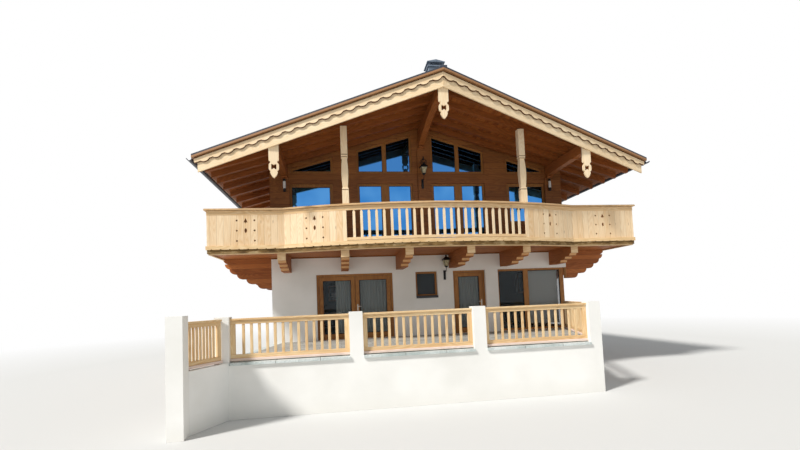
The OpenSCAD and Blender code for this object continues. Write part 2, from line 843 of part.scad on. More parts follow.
module roof_rafters() {
    color(soffit) placed() {
        behind_verge(2 * fascia_t + seat) rafter_set(front_rafters);
        rafter_set(concat(house_rafters, back_rafters));
    }
}

module roof_boarding() {
    color(soffit) placed() behind_verge(2 * fascia_t) both_sides()
        upright(roof_y0, roof_y1 - 2 * fascia_t) slope_layer(roof_x - 60, cover_t + seat, rafter_off);
}

module roof_covering() {
    color(iron) placed() behind_verge(-verge_lap)
        upright(roof_y0 - 2 * verge_lap, roof_y1 + verge_lap) roof_layer(roof_x, 0, cover_t);
}

// Along the slope, the lower edge of the upper verge board hangs in shallow scallops
module scalloped_board() {
    run = (roof_x - 60) / cos(roof_pitch);
    n = floor(run / scallop_pitch);
    half = scallop_pitch * 0.36;
    r = (half * half + scallop_h * scallop_h) / (2 * scallop_h);
    difference() {
        slope_layer(roof_x - 60, cover_t + seat, cover_t + upper_fascia_h);
        translate([roof_x - 60, roof_top(roof_x) - cover_t - upper_fascia_h - 60]) rotate(-25)
            translate([-chamfer / 2, -chamfer]) square([chamfer, chamfer * 2]);
    }
    intersection() {
        slope_layer(roof_x - 60, cover_t + 20, cover_t + upper_fascia_h + 2 * scallop_h);
        translate([0, ridge_z - cover_t - upper_fascia_h]) rotate(-roof_pitch) for (i = [0:n - 1])
            intersection() {
                translate([scallop_pitch * (i + 0.5), r - scallop_h]) circle(r = r, $fn = 96);
                translate([scallop_pitch * i, -2 * scallop_h]) square([scallop_pitch, 2 * scallop_h + 20]);
            }
    }
}
chamfer = 110;

module upper_fascia() {
    color(larch) placed() {
        behind_verge(0, fascia_t) both_sides() upright(roof_y0, 0) scalloped_board();
        both_sides() upright(roof_y1 - fascia_t, roof_y1) scalloped_board();
    }
}

module plain_board() {
    slope_layer(roof_x - 150, cover_t + seat, cover_t + upper_fascia_h + lower_fascia_h);
}

module lower_fascia() {
    color(larch) placed() {
        behind_verge(fascia_t, 2 * fascia_t) both_sides() upright(roof_y0, 0) plain_board();
        both_sides() upright(roof_y1 - 2 * fascia_t, roof_y1 - fascia_t) plain_board();
    }
}

// A purlin's drop board: body, waist, pierced ring with a pointed lobe above and below, drop
module pendant(x) {
    half = pendant_w / 2;
    bottom = roof_top(x) - cover_t - upper_fascia_h - lower_fascia_h - pendant_l;
    top = roof_top(abs(x) + half) - purlin_off - bottom;
    ring = [0.225 * pendant_l, 0.495 * pendant_l];
    ring_mid = (ring[0] + ring[1]) / 2;
    hole_w = half * 1.04;
    hole_h = hole_w * 1.05;
    upright(purlin_front(x) - pendant_t, purlin_front(x)) translate([x, bottom]) difference() {
        union() {
            translate([-half, ring[1] + 70]) square([pendant_w, top - ring[1] - 70]);
            translate([-half + 25, ring[1] + 45]) square([pendant_w - 50, 26]);
            for (s = [-1, 1]) translate([s * (half - 25), ring[1] + 70]) circle(r = 25);
            translate([-half * 0.7, ring[1] - 20]) square([half * 1.4, 70]);
            translate([-half, ring[0] + 75]) square([pendant_w, ring[1] - ring[0] - 150]);
            translate([-half + 75, ring[0]]) square([pendant_w - 150, ring[1] - ring[0]]);
            for (s = [-1, 1], z = [ring[0] + 75, ring[1] - 75]) translate([s * (half - 75), z]) circle(r = 75);
            translate([-half * 0.6, ring[0] - 20]) square([half * 1.2, 40]);
            polygon([[0, 0], [half * 0.36, ring[0] * 0.22], [half * 0.6, ring[0] * 0.5],
                     [half * 0.75, ring[0] * 0.82], [half * 0.6, ring[0]], [-half * 0.6, ring[0]],
                     [-half * 0.75, ring[0] * 0.82], [-half * 0.6, ring[0] * 0.5], [-half * 0.36, ring[0] * 0.22]]);
        }
        difference() {
            translate([-hole_w / 2, ring_mid - hole_h / 2]) square([hole_w, hole_h]);
            polygon([[-hole_w / 3, ring_mid - hole_h / 2 - 1], [hole_w / 3, ring_mid - hole_h / 2 - 1],
                     [0, ring_mid - hole_h / 4]]);
            polygon([[-hole_w / 4, ring_mid + hole_h / 2 + 1], [hole_w / 4, ring_mid + hole_h / 2 + 1],
                     [0, ring_mid + hole_h / 3]]);
        }
    }
}

module purlin_pendants() {
    color(larch) placed() for (x = [-purlin_x, 0, purlin_x]) pendant(x);
}

// Half-round gutters in lengths slipped one beside the other
module gutters() {
    run = (roof_y1 - verge_y(roof_x)) / gutter_n;
    color(iron) placed() both_sides() for (i = [0:gutter_n - 1])
        translate([roof_x + gutter_r, 0, roof_top(roof_x) - cover_t + 10])
            upright(verge_y(roof_x) + i * run, verge_y(roof_x) + (i + 1) * run - 2 * seat) difference() {
                circle(r = gutter_r);
                circle(r = gutter_r - 6);
                translate([-gutter_r, 0]) square([2 * gutter_r, gutter_r]);
            }
}
gutter_n = 5;

module chimney() {
    top = ridge_z + chimney_rise;
    half = chimney_w / 2;
    color([0.3, 0.3, 0.33]) placed() {
        difference() {
            box([chimney_x - half, chimney_y, ridge_z - 1000], [chimney_x + half, chimney_y + chimney_w, top - 260]);
            upright(chimney_y - 1, chimney_y + chimney_w + 1) polygon([[-100, ridge_z - 3000],
                [-100, ridge_z + 100 * slope + seat], [2000, roof_top(2000) + seat], [2000, ridge_z - 3000]]);
        }
        box([chimney_x - half - 40, chimney_y - 40, top - 260],
            [chimney_x + half + 40, chimney_y + chimney_w + 40, top - 210]);
        for (x = [chimney_x - half, chimney_x + half - 50], y = [chimney_y, chimney_y + chimney_w - 50])
            box([x, y, top - 211], [x + 50, y + 50, top - 99]);
        upright(chimney_y - 60, chimney_y + chimney_w + 60) polygon([[chimney_x - half - 60, top - 100],
            [chimney_x + half + 60, top - 100], [chimney_x + half + 60, top - 75], [chimney_x, top],
            [chimney_x - half - 60, top - 75]]);
    }
}

// A square body or hood tapering between two half widths
module tapered(w0, w1, h) {
    intersection_for (a = [0, 90]) rotate([0, 0, a]) upright(-w0 - w1, w0 + w1)
        polygon([[-w0, 0], [w0, 0], [w1, h], [-w1, h]]);
}

// A wrought wall lantern: plate, curled arm, tapering cage, hood and finial
module lantern(x, y, z) {
    translate([x, y, z]) {
        box([-40, -18, -330], [40, 0, 0]);
        rotate([90, 0, -90]) mirror([1, 0, 0]) translate([0, 0, -9]) linear_extrude(height = 18) {
            translate([-160, -70]) square([146, 18]);
            intersection() {
                difference() {
                    translate([-160, 80]) circle(r = 150);
                    translate([-160, 80]) circle(r = 132);
                }
                translate([-320, -80]) square([160, 160]);
            }
            difference() {
                translate([-70, -104]) circle(r = 42);
                translate([-70, -104]) circle(r = 28);
            }
        }
        translate([0, -301, 78]) {
            cylinder(r = 34, h = 24);
            translate([0, 0, 22]) tapered(48, 112, 250);
            translate([0, 0, 270]) tapered(136, 40, 90);
            translate([0, 0, 350]) cylinder(r = 26, h = 40);
            translate([0, 0, 405]) sphere(r = 26);
        }
    }
}

lantern_x = 650;
lantern_z = 3510;
ridge_lantern_z = 6720;
lamp_h = 430;

module lanterns() {
    color(iron) placed() {
        lantern(lantern_x, 0, lantern_z);
        lantern(0, -post_proud, ridge_lantern_z);
        both_sides() translate([purlin_x, -post_proud, purlin_z(purlin_x) - side_knee_h - knee_foot - 40 - lamp_h]) {
            translate([0, -75, 0]) cylinder(r = 42, h = lamp_h);
            box([-25, -60, lamp_h / 4], [25, 0, lamp_h / 2]);
        }
    }
}

// Terrace

// Plan of the wall along one side of the terrace
module terrace_side_plan(s, x) {
    polygon([[s * x, -terrace_y], [s * (x - terrace_wall_t), -terrace_y], [s * (hx - terrace_wall_t), 0], [s * hx, 0]]);
}

module terrace_walls() {
    y0 = -terrace_y + terrace_wall_t;
    left = terrace_left - terrace_wall_t - (terrace_left - hx) * terrace_wall_t / terrace_y;
    right = terrace_right - terrace_wall_t + (hx - terrace_right) * terrace_wall_t / terrace_y;
    color(render_white) placed() linear_extrude(height = terrace_z - cap_h)
        polygon([[-hx, 0], [-terrace_left, -terrace_y], [terrace_right, -terrace_y], [hx, 0],
                 [hx - terrace_wall_t, 0], [right, y0], [-left, y0], [-hx + terrace_wall_t, 0]]);
}
cap_h = 90;

module terrace_floor() {
    y0 = -terrace_y + terrace_wall_t;
    left = terrace_left - terrace_wall_t - (terrace_left - hx) * terrace_wall_t / terrace_y;
    right = terrace_right - terrace_wall_t + (hx - terrace_right) * terrace_wall_t / terrace_y;
    color([0.6, 0.6, 0.58]) placed() translate([0, 0, terrace_z - 150]) linear_extrude(height = 150)
        polygon([[-left, y0], [right, y0], [hx - terrace_wall_t, 0], [-hx + terrace_wall_t, 0]]);
}

post_x = [-terrace_left, -2810, 220, terrace_right - post_w];

module terrace_posts() {
    color(render_white) placed() for (x = post_x)
        box([x, -terrace_y, terrace_z - 90], [x + post_w, -terrace_y + terrace_wall_t, terrace_z + post_h]);
}

module terrace_caps() {
    color([0.7, 0.75, 0.73]) placed() {
        for (i = [0:2])
            box([post_x[i] + post_w, -terrace_y - 50, terrace_z - 90],
                [post_x[i + 1], -terrace_y + terrace_wall_t, terrace_z - 30]);
        translate([0, 0, terrace_z - 90]) linear_extrude(height = 60) difference() {
            union() {
                terrace_side_plan(-1, terrace_left);
                terrace_side_plan(1, terrace_right);
            }
            translate([-house_w, -terrace_y - 1]) square([2 * house_w, terrace_wall_t + 1]);
        }
    }
}

// A railing panel of the given length: handrail, rails, end stiles and upright battens
module rail_panel(l, n) {
    z0 = terrace_z + 20;
    z1 = terrace_z + rail_h;
    box([0, -62, z1 - 45], [l, 62, z1]);
    box([0, -30, z1 - 130], [l, 30, z1 - 44]);
    box([0, -62, z0], [l, 62, z0 + 45]);
    box([0, -30, z0 + 44], [l, 30, z0 + 120]);
    for (x = [0, l - end_w]) box([x, -30, z0 + 119], [x + end_w, 30, z1 - 129]);
    for (x = spread(end_w, l - end_w, n + 2)) if (x > end_w + 1 && x < l - end_w - 1)
        box([x - batten_w / 2, -14, z0 + 119], [x + batten_w / 2, 14, z1 - 129]);
    for (x = [60, l - 60 - end_w]) box([x, -25, terrace_z - 30], [x + end_w, 25, z0]);
}
end_w = 110;

// A railing panel along a line on plan, kept clear of what stands at both ends
module rail_between(a, b, clear, n) {
    run = b - a;
    l = norm(run);
    translate([a[0], a[1], 0]) rotate([0, 0, atan2(run[1], run[0])]) translate([clear, 0, 0])
        rail_panel(l - 2 * clear, n);
}

wing_x = [6380, 6060];
wing_y1 = wing_y - post_w;
wing_mid = -(wing_x[0] + wing_x[1]) / 2;

module terrace_rails() {
    mid = terrace_right - terrace_wall_t / 2;
    lean = (hx - terrace_right) / terrace_y;
    color(larch) placed() {
        for (i = [0:2]) translate([post_x[i] + post_w, -terrace_y + terrace_wall_t / 2, 0])
            rail_panel(post_x[i + 1] - post_x[i] - post_w, rail_n);
        rail_between([mid + terrace_wall_t * lean, -terrace_y + terrace_wall_t],
                     [hx - terrace_wall_t / 2, 0], 28, 19);
        rail_between([wing_mid, -wing_y1], [-terrace_left + post_w / 2, -terrace_y], 40, 5);
    }
}

module wing_wall() {
    color(render_white) placed() {
        box([-wing_x[0], -wing_y, 0], [-wing_x[1], -wing_y1, terrace_z + 1090]);
        linear_extrude(height = terrace_z - 30)
            polygon([[-wing_x[0], -wing_y1], [-wing_x[1], -wing_y1],
                     [-terrace_left + terrace_wall_t, -terrace_y], [-terrace_left, -terrace_y]]);
    }
}

foundation();
terrace_walls();
terrace_posts();
terrace_floor();
terrace_caps();
terrace_rails();
wing_wall();
ground_floor();
front_wall_left();
front_wall_middle();
front_wall_right();
front_wall_head();
side_walls();
back_wall();
upper_floor();
front_gable();
back_gable();
upper_side_walls();
door_frames();
double_door_left();
double_left_glass();
double_door_right();
double_right_glass();
terrace_door();
terrace_door_glass();
window_frames();
window_glass();
balcony_deck();
balcony_consoles();
side_brackets();
balcony_boards();
balcony_balusters();
balcony_rails();
balcony_trim();
carved_posts();
roof_purlins();
roof_rafters();
roof_boarding();
roof_covering();
upper_fascia();
lower_fascia();
purlin_pendants();
gutters();
chimney();
lanterns();
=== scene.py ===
# An alpine chalet: a rendered ground floor behind a walled terrace, a timber gable storey with a
# bowed larch balcony, and a wide low-pitched roof. Metres, in the frame of the solids: the front
# looks to -Y, +X is to the right, and z = 0 is the lowest ground.
import math
import random

import bmesh
import bpy
from mathutils import Matrix, Vector


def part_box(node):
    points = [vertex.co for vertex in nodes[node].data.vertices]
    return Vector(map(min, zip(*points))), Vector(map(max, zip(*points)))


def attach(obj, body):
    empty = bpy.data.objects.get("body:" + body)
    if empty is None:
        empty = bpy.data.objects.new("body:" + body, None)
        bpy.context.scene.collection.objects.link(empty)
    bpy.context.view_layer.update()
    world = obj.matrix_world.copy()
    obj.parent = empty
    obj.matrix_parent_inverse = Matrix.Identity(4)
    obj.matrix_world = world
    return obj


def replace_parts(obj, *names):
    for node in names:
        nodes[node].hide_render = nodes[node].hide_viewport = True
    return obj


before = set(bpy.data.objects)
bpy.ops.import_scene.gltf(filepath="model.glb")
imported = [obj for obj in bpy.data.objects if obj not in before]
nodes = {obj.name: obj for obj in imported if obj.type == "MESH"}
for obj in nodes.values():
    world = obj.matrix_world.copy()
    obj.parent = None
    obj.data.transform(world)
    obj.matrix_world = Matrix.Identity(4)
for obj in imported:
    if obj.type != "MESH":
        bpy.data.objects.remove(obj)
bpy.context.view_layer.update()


# Rendered masonry: the foundation, the ground floor walls, the terrace walls and their pillars.
# Brick and concrete under two coats of lime render, rubbed with a felt float and limewashed, which
# gives a matt, faintly cloudy white with a sandy grain.

def linear(hex_colour):
    """Linear colour of an sRGB hex value."""
    channels = [int(hex_colour[i:i + 2], 16) / 255 for i in (1, 3, 5)]
    return (*(c / 12.92 if c < 0.04045 else ((c + 0.055) / 1.055) ** 2.4 for c in channels), 1.0)


def add(tree, kind, wires=None, stops=None, **settings):
    """Adds a shader node: its settings, a ramp's stops, and a value or an output for each socket."""
    made = tree.nodes.new("ShaderNode" + kind)
    for name, value in settings.items():
        setattr(made, name, value)
    for i, (position, colour) in enumerate(stops or []):
        stop = made.color_ramp.elements[i] if i < 2 else made.color_ramp.elements.new(position)
        stop.position, stop.color = position, linear(colour)
    for socket, value in (wires or {}).items():
        if isinstance(value, bpy.types.NodeSocket):
            tree.links.new(value, made.inputs[socket])
        else:
            made.inputs[socket].default_value = value
    return made


def finish(name, **constants):
    """A new material with constants on its shader's own sockets."""
    made = bpy.data.materials.new(name)
    made.use_nodes = True
    shader = made.node_tree.nodes["Principled BSDF"]
    for socket, value in constants.items():
        shader.inputs[socket.replace("_", " ")].default_value = value
    return made, made.node_tree, shader


def dress(material, *names):
    """Gives solids their material."""
    for name in names:
        for i in range(len(nodes[name].data.materials)):
            nodes[name].data.materials[i] = material


# The colour sockets of a Mix node
UNDER, OVER, MIXED = 6, 7, 2

lime_render, tree, shader = finish("lime_render", Specular_IOR_Level=0.2)
place = add(tree, "TexCoord").outputs["Object"]
# Sand of 2 mm, drawn at about 25 mm so that it shows
sand = add(tree, "TexNoise", {"Vector": place, "Scale": 40.0, "Detail": 6.0, "Roughness": 0.62})
cloud = add(tree, "TexNoise", {"Vector": place, "Scale": 0.8, "Detail": 4.0})
wash = add(tree, "ValToRGB", {"Fac": cloud.outputs["Fac"]}, stops=[(0.35, "#ECEBE6"), (0.65, "#F6F5F1")])
# Rain splashes the foot of the walls
height = add(tree, "SeparateXYZ", {"Vector": place}).outputs["Z"]
splash = add(tree, "MapRange", {"Value": height, "From Min": 0.0, "From Max": 0.4,
                                "To Min": 0.55, "To Max": 0.0})
damp = add(tree, "Math", {0: splash.outputs["Result"], 1: cloud.outputs["Fac"]}, operation="MULTIPLY")
wall = add(tree, "Mix", {"Factor": damp.outputs["Value"], UNDER: wash.outputs["Color"],
                         OVER: linear("#D6D3CA")}, data_type="RGBA")
# Inside, the walls are painted dark grey as painted shade, so that the rooms stay dark behind their panes
ROOM_HALF = Vector((4.87, 4.47))
ROOM_MIDDLE = 2.2
room = add(tree, "Mapping", {"Vector": place, "Location": (0, -ROOM_MIDDLE / ROOM_HALF.y, 0),
                             "Scale": (1 / ROOM_HALF.x, 1 / ROOM_HALF.y, 0)})
away = add(tree, "VectorMath", {0: room.outputs["Vector"]}, operation="ABSOLUTE")
away = add(tree, "SeparateXYZ", {"Vector": away.outputs["Vector"]})
away = add(tree, "Math", {0: away.outputs["X"], 1: away.outputs["Y"]}, operation="MAXIMUM")
room_shade_mask = add(tree, "Math", {0: away.outputs["Value"], 1: 1.0}, operation="LESS_THAN")
wall = add(tree, "Mix", {"Factor": room_shade_mask.outputs["Value"], UNDER: wall.outputs[MIXED],
                         OVER: linear("#4E4A45")}, data_type="RGBA")
tree.links.new(wall.outputs[MIXED], shader.inputs["Base Color"])
matt = add(tree, "MapRange", {"Value": sand.outputs["Fac"], "To Min": 0.82, "To Max": 0.98})
tree.links.new(matt.outputs["Result"], shader.inputs["Roughness"])
grain = add(tree, "Bump", {"Height": sand.outputs["Fac"], "Strength": 0.35, "Distance": 0.004})
tree.links.new(grain.outputs["Normal"], shader.inputs["Normal"])
dress(lime_render, "foundation", "terrace_walls", "terrace_posts", "wing_wall", "front_wall_left",
      "front_wall_middle", "front_wall_right", "front_wall_head", "side_walls", "back_wall")


# The terrace's paving and the slabs on its walls. Flamed granite slabs of 600 by 400 mm laid in
# bond with 6 mm joints, and sawn green-grey quartzite on the walls with a joint every metre.

def stone(name, pale, deep, slab, row):
    """Sawn stone, cleft in places, with mortar joints every slab and row in metres."""
    made, tree, shader = finish(name, Specular_IOR_Level=0.35)
    place = add(tree, "TexCoord").outputs["Object"]
    speck = add(tree, "TexNoise", {"Vector": place, "Scale": 22.0, "Detail": 6.0, "Roughness": 0.7})
    vein = add(tree, "TexNoise", {"Vector": place, "Scale": 2.2, "Detail": 3.0})
    fleck = add(tree, "Math", {0: speck.outputs["Fac"], 1: vein.outputs["Fac"]}, operation="MULTIPLY")
    body = add(tree, "ValToRGB", {"Fac": fleck.outputs["Value"]}, stops=[(0.14, deep), (0.36, pale)])
    joints = add(tree, "TexBrick", {"Vector": place, "Scale": 1.0, "Mortar Size": 0.006,
                                    "Mortar Smooth": 0.2, "Brick Width": slab, "Row Height": row})
    laid = add(tree, "Mix", {"Factor": joints.outputs["Fac"], UNDER: body.outputs["Color"],
                             OVER: linear("#6E6C66")}, data_type="RGBA")
    tree.links.new(laid.outputs[MIXED], shader.inputs["Base Color"])
    rough = add(tree, "MapRange", {"Value": speck.outputs["Fac"], "To Min": 0.55, "To Max": 0.85})
    tree.links.new(rough.outputs["Result"], shader.inputs["Roughness"])
    relief = add(tree, "Math", {0: speck.outputs["Fac"], 1: joints.outputs["Fac"]}, operation="SUBTRACT")
    bump = add(tree, "Bump", {"Height": relief.outputs["Value"], "Strength": 0.4, "Distance": 0.005})
    tree.links.new(bump.outputs["Normal"], shader.inputs["Normal"])
    return made


# Flaming chips the granite's surface, so it is matt and speckled; the sawn quartzite is paler and cloudy
dress(stone("flamed_granite", "#B9B7AF", "#8F8D86", slab=0.6, row=0.4), "terrace_floor", "ground_floor")
dress(stone("sawn_quartzite", "#DCE2E0", "#A9B5B2", slab=1.0, row=5.0), "terrace_caps")


# The terrace railing. Planed larch boards, oiled: a handrail, a rail under it, upright battens
# tenoned between the rails, and a wide foot plank on short feet screwed to the wall's slabs.

# The facade's plane, and the top of the slabs on the terrace walls
FRONT = -2.6
TERRACE = 1.3
chance = random.Random(4)


def planed(name, pale, deep, source=None, boards=None, matt=0.55, knots=0.0, seam=0.75):
    """Planed softwood: grain along X of the coordinates, boards of a width side by side along Y."""
    made, tree, shader = finish(name, Specular_IOR_Level=0.3)
    place = source(tree) if source else add(tree, "Attribute", attribute_name="grain").outputs["Vector"]
    if boards:
        across = add(tree, "SeparateXYZ", {"Vector": place}).outputs["Y"]
        count = add(tree, "Math", {0: across, 1: boards}, operation="DIVIDE").outputs["Value"]
        number = add(tree, "Math", {0: count}, operation="FLOOR").outputs["Value"]
        log = add(tree, "TexWhiteNoise", {"W": number}, noise_dimensions="1D")
        place = add(tree, "VectorMath", {0: log.outputs["Color"], 1: (9.0, 9.0, 9.0), 2: place},
                    operation="MULTIPLY_ADD").outputs["Vector"]
    # Growth rings 3 mm apart, drawn as flames about 30 mm apart
    flames = add(tree, "Mapping", {"Vector": place, "Scale": (0.45, 3.2, 3.2)}).outputs["Vector"]
    field = add(tree, "TexNoise", {"Vector": flames, "Scale": 1.0, "Detail": 1.5, "Roughness": 0.45})
    rings = add(tree, "Math", {0: field.outputs["Fac"], 1: 20.0}, operation="MULTIPLY").outputs["Value"]
    rings = add(tree, "Math", {0: rings, 1: 0.5}, operation="PINGPONG").outputs["Value"]
    # Fibres of 1 mm, drawn at 11 mm
    streaks = add(tree, "Mapping", {"Vector": place, "Scale": (2.5, 90.0, 90.0)}).outputs["Vector"]
    fibre = add(tree, "TexNoise", {"Vector": streaks, "Scale": 1.0, "Detail": 2.0}).outputs["Fac"]
    broad = add(tree, "Mapping", {"Vector": place, "Scale": (0.3, 1.1, 1.1)}).outputs["Vector"]
    tint = add(tree, "TexNoise", {"Vector": broad, "Scale": 1.0, "Detail": 1.0}).outputs["Fac"]
    figure = add(tree, "Math", {0: rings, 1: 0.55}, operation="MULTIPLY").outputs["Value"]
    figure = add(tree, "Math", {0: fibre, 1: 0.5, 2: figure}, operation="MULTIPLY_ADD").outputs["Value"]
    relief = figure
    shade = add(tree, "Math", {0: tint, 1: 0.6, 2: figure}, operation="MULTIPLY_ADD").outputs["Value"]
    if boards:
        own = add(tree, "Math", {0: log.outputs["Value"], 1: 0.5}, operation="SUBTRACT").outputs["Value"]
        shade = add(tree, "Math", {0: own, 1: 0.34, 2: shade}, operation="MULTIPLY_ADD").outputs["Value"]
        edge = add(tree, "Math", {0: count, 1: 0.5}, operation="PINGPONG").outputs["Value"]
        groove = add(tree, "MapRange", {"Value": edge, "From Min": 0.002 / boards,
                                        "From Max": 0.006 / boards, "To Min": 1.0,
                                        "To Max": 0.0}).outputs["Result"]
        relief = add(tree, "Math", {0: groove, 1: -4.0, 2: relief},
                     operation="MULTIPLY_ADD").outputs["Value"]
    colour = add(tree, "ValToRGB", {"Fac": shade}, stops=[(0.42, pale), (0.98, deep)]).outputs["Color"]
    if knots:
        apart = add(tree, "Mapping", {"Vector": place, "Scale": (1.2, 5.0, 5.0)}).outputs["Vector"]
        heart = add(tree, "TexVoronoi", {"Vector": apart, "Scale": 1.0}).outputs["Distance"]
        knot = add(tree, "MapRange", {"Value": heart, "From Min": 0.03, "From Max": 0.09, "To Min": knots,
                                      "To Max": 0.0}).outputs["Result"]
        colour = add(tree, "Mix", {"Factor": knot, UNDER: colour, OVER: linear("#6B3F1E")},
                     data_type="RGBA").outputs[MIXED]
    if boards:
        dim = add(tree, "Math", {0: groove, 1: seam}, operation="MULTIPLY").outputs["Value"]
        colour = add(tree, "Mix", {"Factor": dim, UNDER: colour, OVER: linear("#4A2E18")},
                     data_type="RGBA").outputs[MIXED]
    tree.links.new(colour, shader.inputs["Base Color"])
    rough = add(tree, "MapRange", {"Value": fibre, "To Min": matt - 0.1, "To Max": matt + 0.12})
    tree.links.new(rough.outputs["Result"], shader.inputs["Roughness"])
    bump = add(tree, "Bump", {"Height": relief, "Strength": 0.3, "Distance": 0.003})
    tree.links.new(bump.outputs["Normal"], shader.inputs["Normal"])
    return made


def timbers():
    """An empty mesh whose points carry the place on the board that they were cut from."""
    bm = bmesh.new()
    bm.verts.layers.float_vector.new("grain")
    return bm


def board(bm, lo, hi, place=Matrix(), run=None):
    """A sawn board between two corners, moved to its place; grain along its longest side or run."""
    grain = bm.verts.layers.float_vector["grain"]
    size = Vector(hi) - Vector(lo)
    run = max(range(3), key=lambda i: size[i]) if run is None else run
    middle = (Vector(hi) + Vector(lo)) / 2
    log = Vector([chance.uniform(0, 30) for _ in range(3)])
    for v in bmesh.ops.create_cube(bm, size=1.0, matrix=Matrix.Diagonal((*size, 1.0)))["verts"]:
        v[grain] = Vector((v.co[run], v.co[(run + 1) % 3], v.co[(run + 2) % 3])) + log
        v.co = place @ (v.co + middle)


def ease(bm, width, segments=1, edges=None):
    """Takes the sharp arrises off every board, or off some edges only."""
    bmesh.ops.bevel(bm, geom=edges or bm.edges[:], offset=width, segments=segments, profile=0.5,
                    affect="EDGES", material=-1)


def fit(name, bm, material, body="house"):
    """Makes a mesh a piece: its material and the body that it moves with."""
    mesh = bpy.data.meshes.new(name)
    bm.to_mesh(mesh)
    bm.free()
    made = bpy.data.objects.new(name, mesh)
    bpy.context.scene.collection.objects.link(made)
    mesh.materials.append(material)
    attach(made, body)
    return made


# Fresh oil keeps the larch warm and slightly glossy
oiled_larch = planed("oiled_larch", "#ECD2A6", "#D0A671", knots=0.6)
PLANK_FOOT = TERRACE - 0.006
PLANK_TOP = TERRACE + 0.050
LOWER_RAIL = TERRACE + 0.140
UPPER_RAIL = TERRACE + 0.830
HANDRAIL_FOOT = TERRACE + 0.915
HANDRAIL_TOP = TERRACE + 0.960
STILE = 0.110
BATTEN = 0.064


def rail_panel(bm, planks, start, end, battens):
    """A panel of the railing between two points on plan, and its foot plank."""
    run = Vector(end) - Vector(start)
    length = run.length
    place = (Matrix.Translation((start[0], start[1] + FRONT, 0))
             @ Matrix.Rotation(math.atan2(run.y, run.x), 4, "Z"))
    board(bm, (0, -0.062, HANDRAIL_FOOT), (length, 0.062, HANDRAIL_TOP), place)
    board(bm, (0, -0.030, UPPER_RAIL), (length, 0.030, HANDRAIL_FOOT), place)
    board(planks, (0, -0.066, PLANK_FOOT), (length, 0.066, PLANK_TOP), place)
    board(bm, (0, -0.030, PLANK_TOP), (length, 0.030, LOWER_RAIL), place)
    for x in (0, length - STILE):
        board(bm, (x, -0.030, LOWER_RAIL), (x + STILE, 0.030, UPPER_RAIL), place)
    step = (length - 2 * STILE) / (battens + 1)
    for i in range(battens):
        x = STILE + step * (i + 1) - BATTEN / 2
        board(bm, (x, -0.014, LOWER_RAIL - 0.001), (x + BATTEN, 0.014, UPPER_RAIL + 0.001), place)
    for x in (0.06, length - 0.17):
        board(planks, (x, -0.025, TERRACE - 0.030), (x + 0.11, 0.025, PLANK_FOOT), place, run=0)


bm = timbers()
planks = timbers()
PILLAR = 0.32
RAILING_Y = -4.2
pillars = (-5.84, -2.81, 0.22, 3.28)
for left, right in zip(pillars, pillars[1:]):
    rail_panel(bm, planks, (left + PILLAR, RAILING_Y), (right, RAILING_Y), 13)
# The panel along the terrace's oblique right end, and the short one at its left end
rail_panel(bm, planks, (3.570, -4.024), (5.040, -0.026), 19)
rail_panel(bm, planks, (-6.201, -5.305), (-5.699, -4.385), 8)
ease(bm, 0.006)
ease(planks, 0.006)
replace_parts(fit("terrace_railing", bm, oiled_larch), "terrace_rails")
# Lying flat in the rain, the foot planks have bleached to a rosy grey
bleached_larch = planed("bleached_larch", "#F2DED2", "#DBC3B5", matt=0.7)
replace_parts(fit("terrace_foot_planks", planks, bleached_larch), "terrace_rails")


# The doors and windows of the ground floor. Stained softwood frames set back in the render, glazed
# leaves hung on them, and double glazing that shows a dark room behind.

def upright_grain(tree):
    """Coordinates for pieces whose grain stands upright."""
    place = add(tree, "TexCoord").outputs["Object"]
    return add(tree, "Mapping", {"Vector": place, "Rotation": (0, math.pi / 2, 0)}).outputs["Vector"]


# A thin brown stain, through which the grain of the spruce shows
stained_spruce = planed("stained_spruce", "#B27B42", "#875729", matt=0.45, source=upright_grain)
dress(stained_spruce, "door_frames", "double_door_left", "double_door_right", "terrace_door",
      "window_frames")


def clouded(name, scale, detail, rough, tones=None, relief=None, lean=None, **constants):
    """A finish whose tone, gloss and relief follow one cloudy pattern, scale clouds to the metre."""
    made, tree, shader = finish(name, **constants)
    place = add(tree, "TexCoord").outputs["Object"]
    cloud = add(tree, "TexNoise", {"Vector": place, "Scale": scale, "Detail": detail}).outputs["Fac"]
    if tones:
        tone = add(tree, "ValToRGB", {"Fac": cloud}, stops=tones)
        tree.links.new(tone.outputs["Color"], shader.inputs["Base Color"])
    gloss = add(tree, "MapRange", {"Value": cloud, "To Min": rough[0], "To Max": rough[1]})
    tree.links.new(gloss.outputs["Result"], shader.inputs["Roughness"])
    if relief:
        bump = add(tree, "Bump", {"Height": cloud, "Strength": relief[0], "Distance": relief[1]})
        tree.links.new(bump.outputs["Normal"], shader.inputs["Normal"])
    if lean:
        upright = add(tree, "NewGeometry").outputs["Normal"]
        leaning = add(tree, "VectorMath", {0: upright, 1: lean}, operation="ADD")
        tree.links.new(leaning.outputs["Vector"], bump.inputs["Normal"])
    return made


# Clear float glass, rolled in waves that are drawn 0.4 m long, over a dark room
clear_pane = clouded("clear_double_glazing", 2.5, 1.0, rough=(0.01, 0.05), relief=(0.02, 0.01),
                     Base_Color=linear("#22343E"), Alpha=0.28, Specular_IOR_Level=0.6)
dress(clear_pane, "double_left_glass", "double_right_glass", "terrace_door_glass")
# The upper lights are metallic blue glass, whose blue is a painted reflection of the sky
sky_painted_pane = clouded("painted_sky_glass", 1.4, 1.0, rough=(0.02, 0.06), relief=(0.02, 0.01),
                      tones=[(0.35, "#3A80C6"), (0.7, "#5294D4")], Metallic=1.0)
# The gable lights' shading normals lean forward, so that they mirror from under the verge; their blue is a
# painted sky reflection too
sky_painted_gable_pane = clouded("leaning_painted_sky_glass", 1.4, 1.0, rough=(0.02, 0.06), relief=(0.02, 0.01),
                     lean=(0, 0, -0.071), Metallic=1.0, Base_Color=linear("#3F7ABA"))
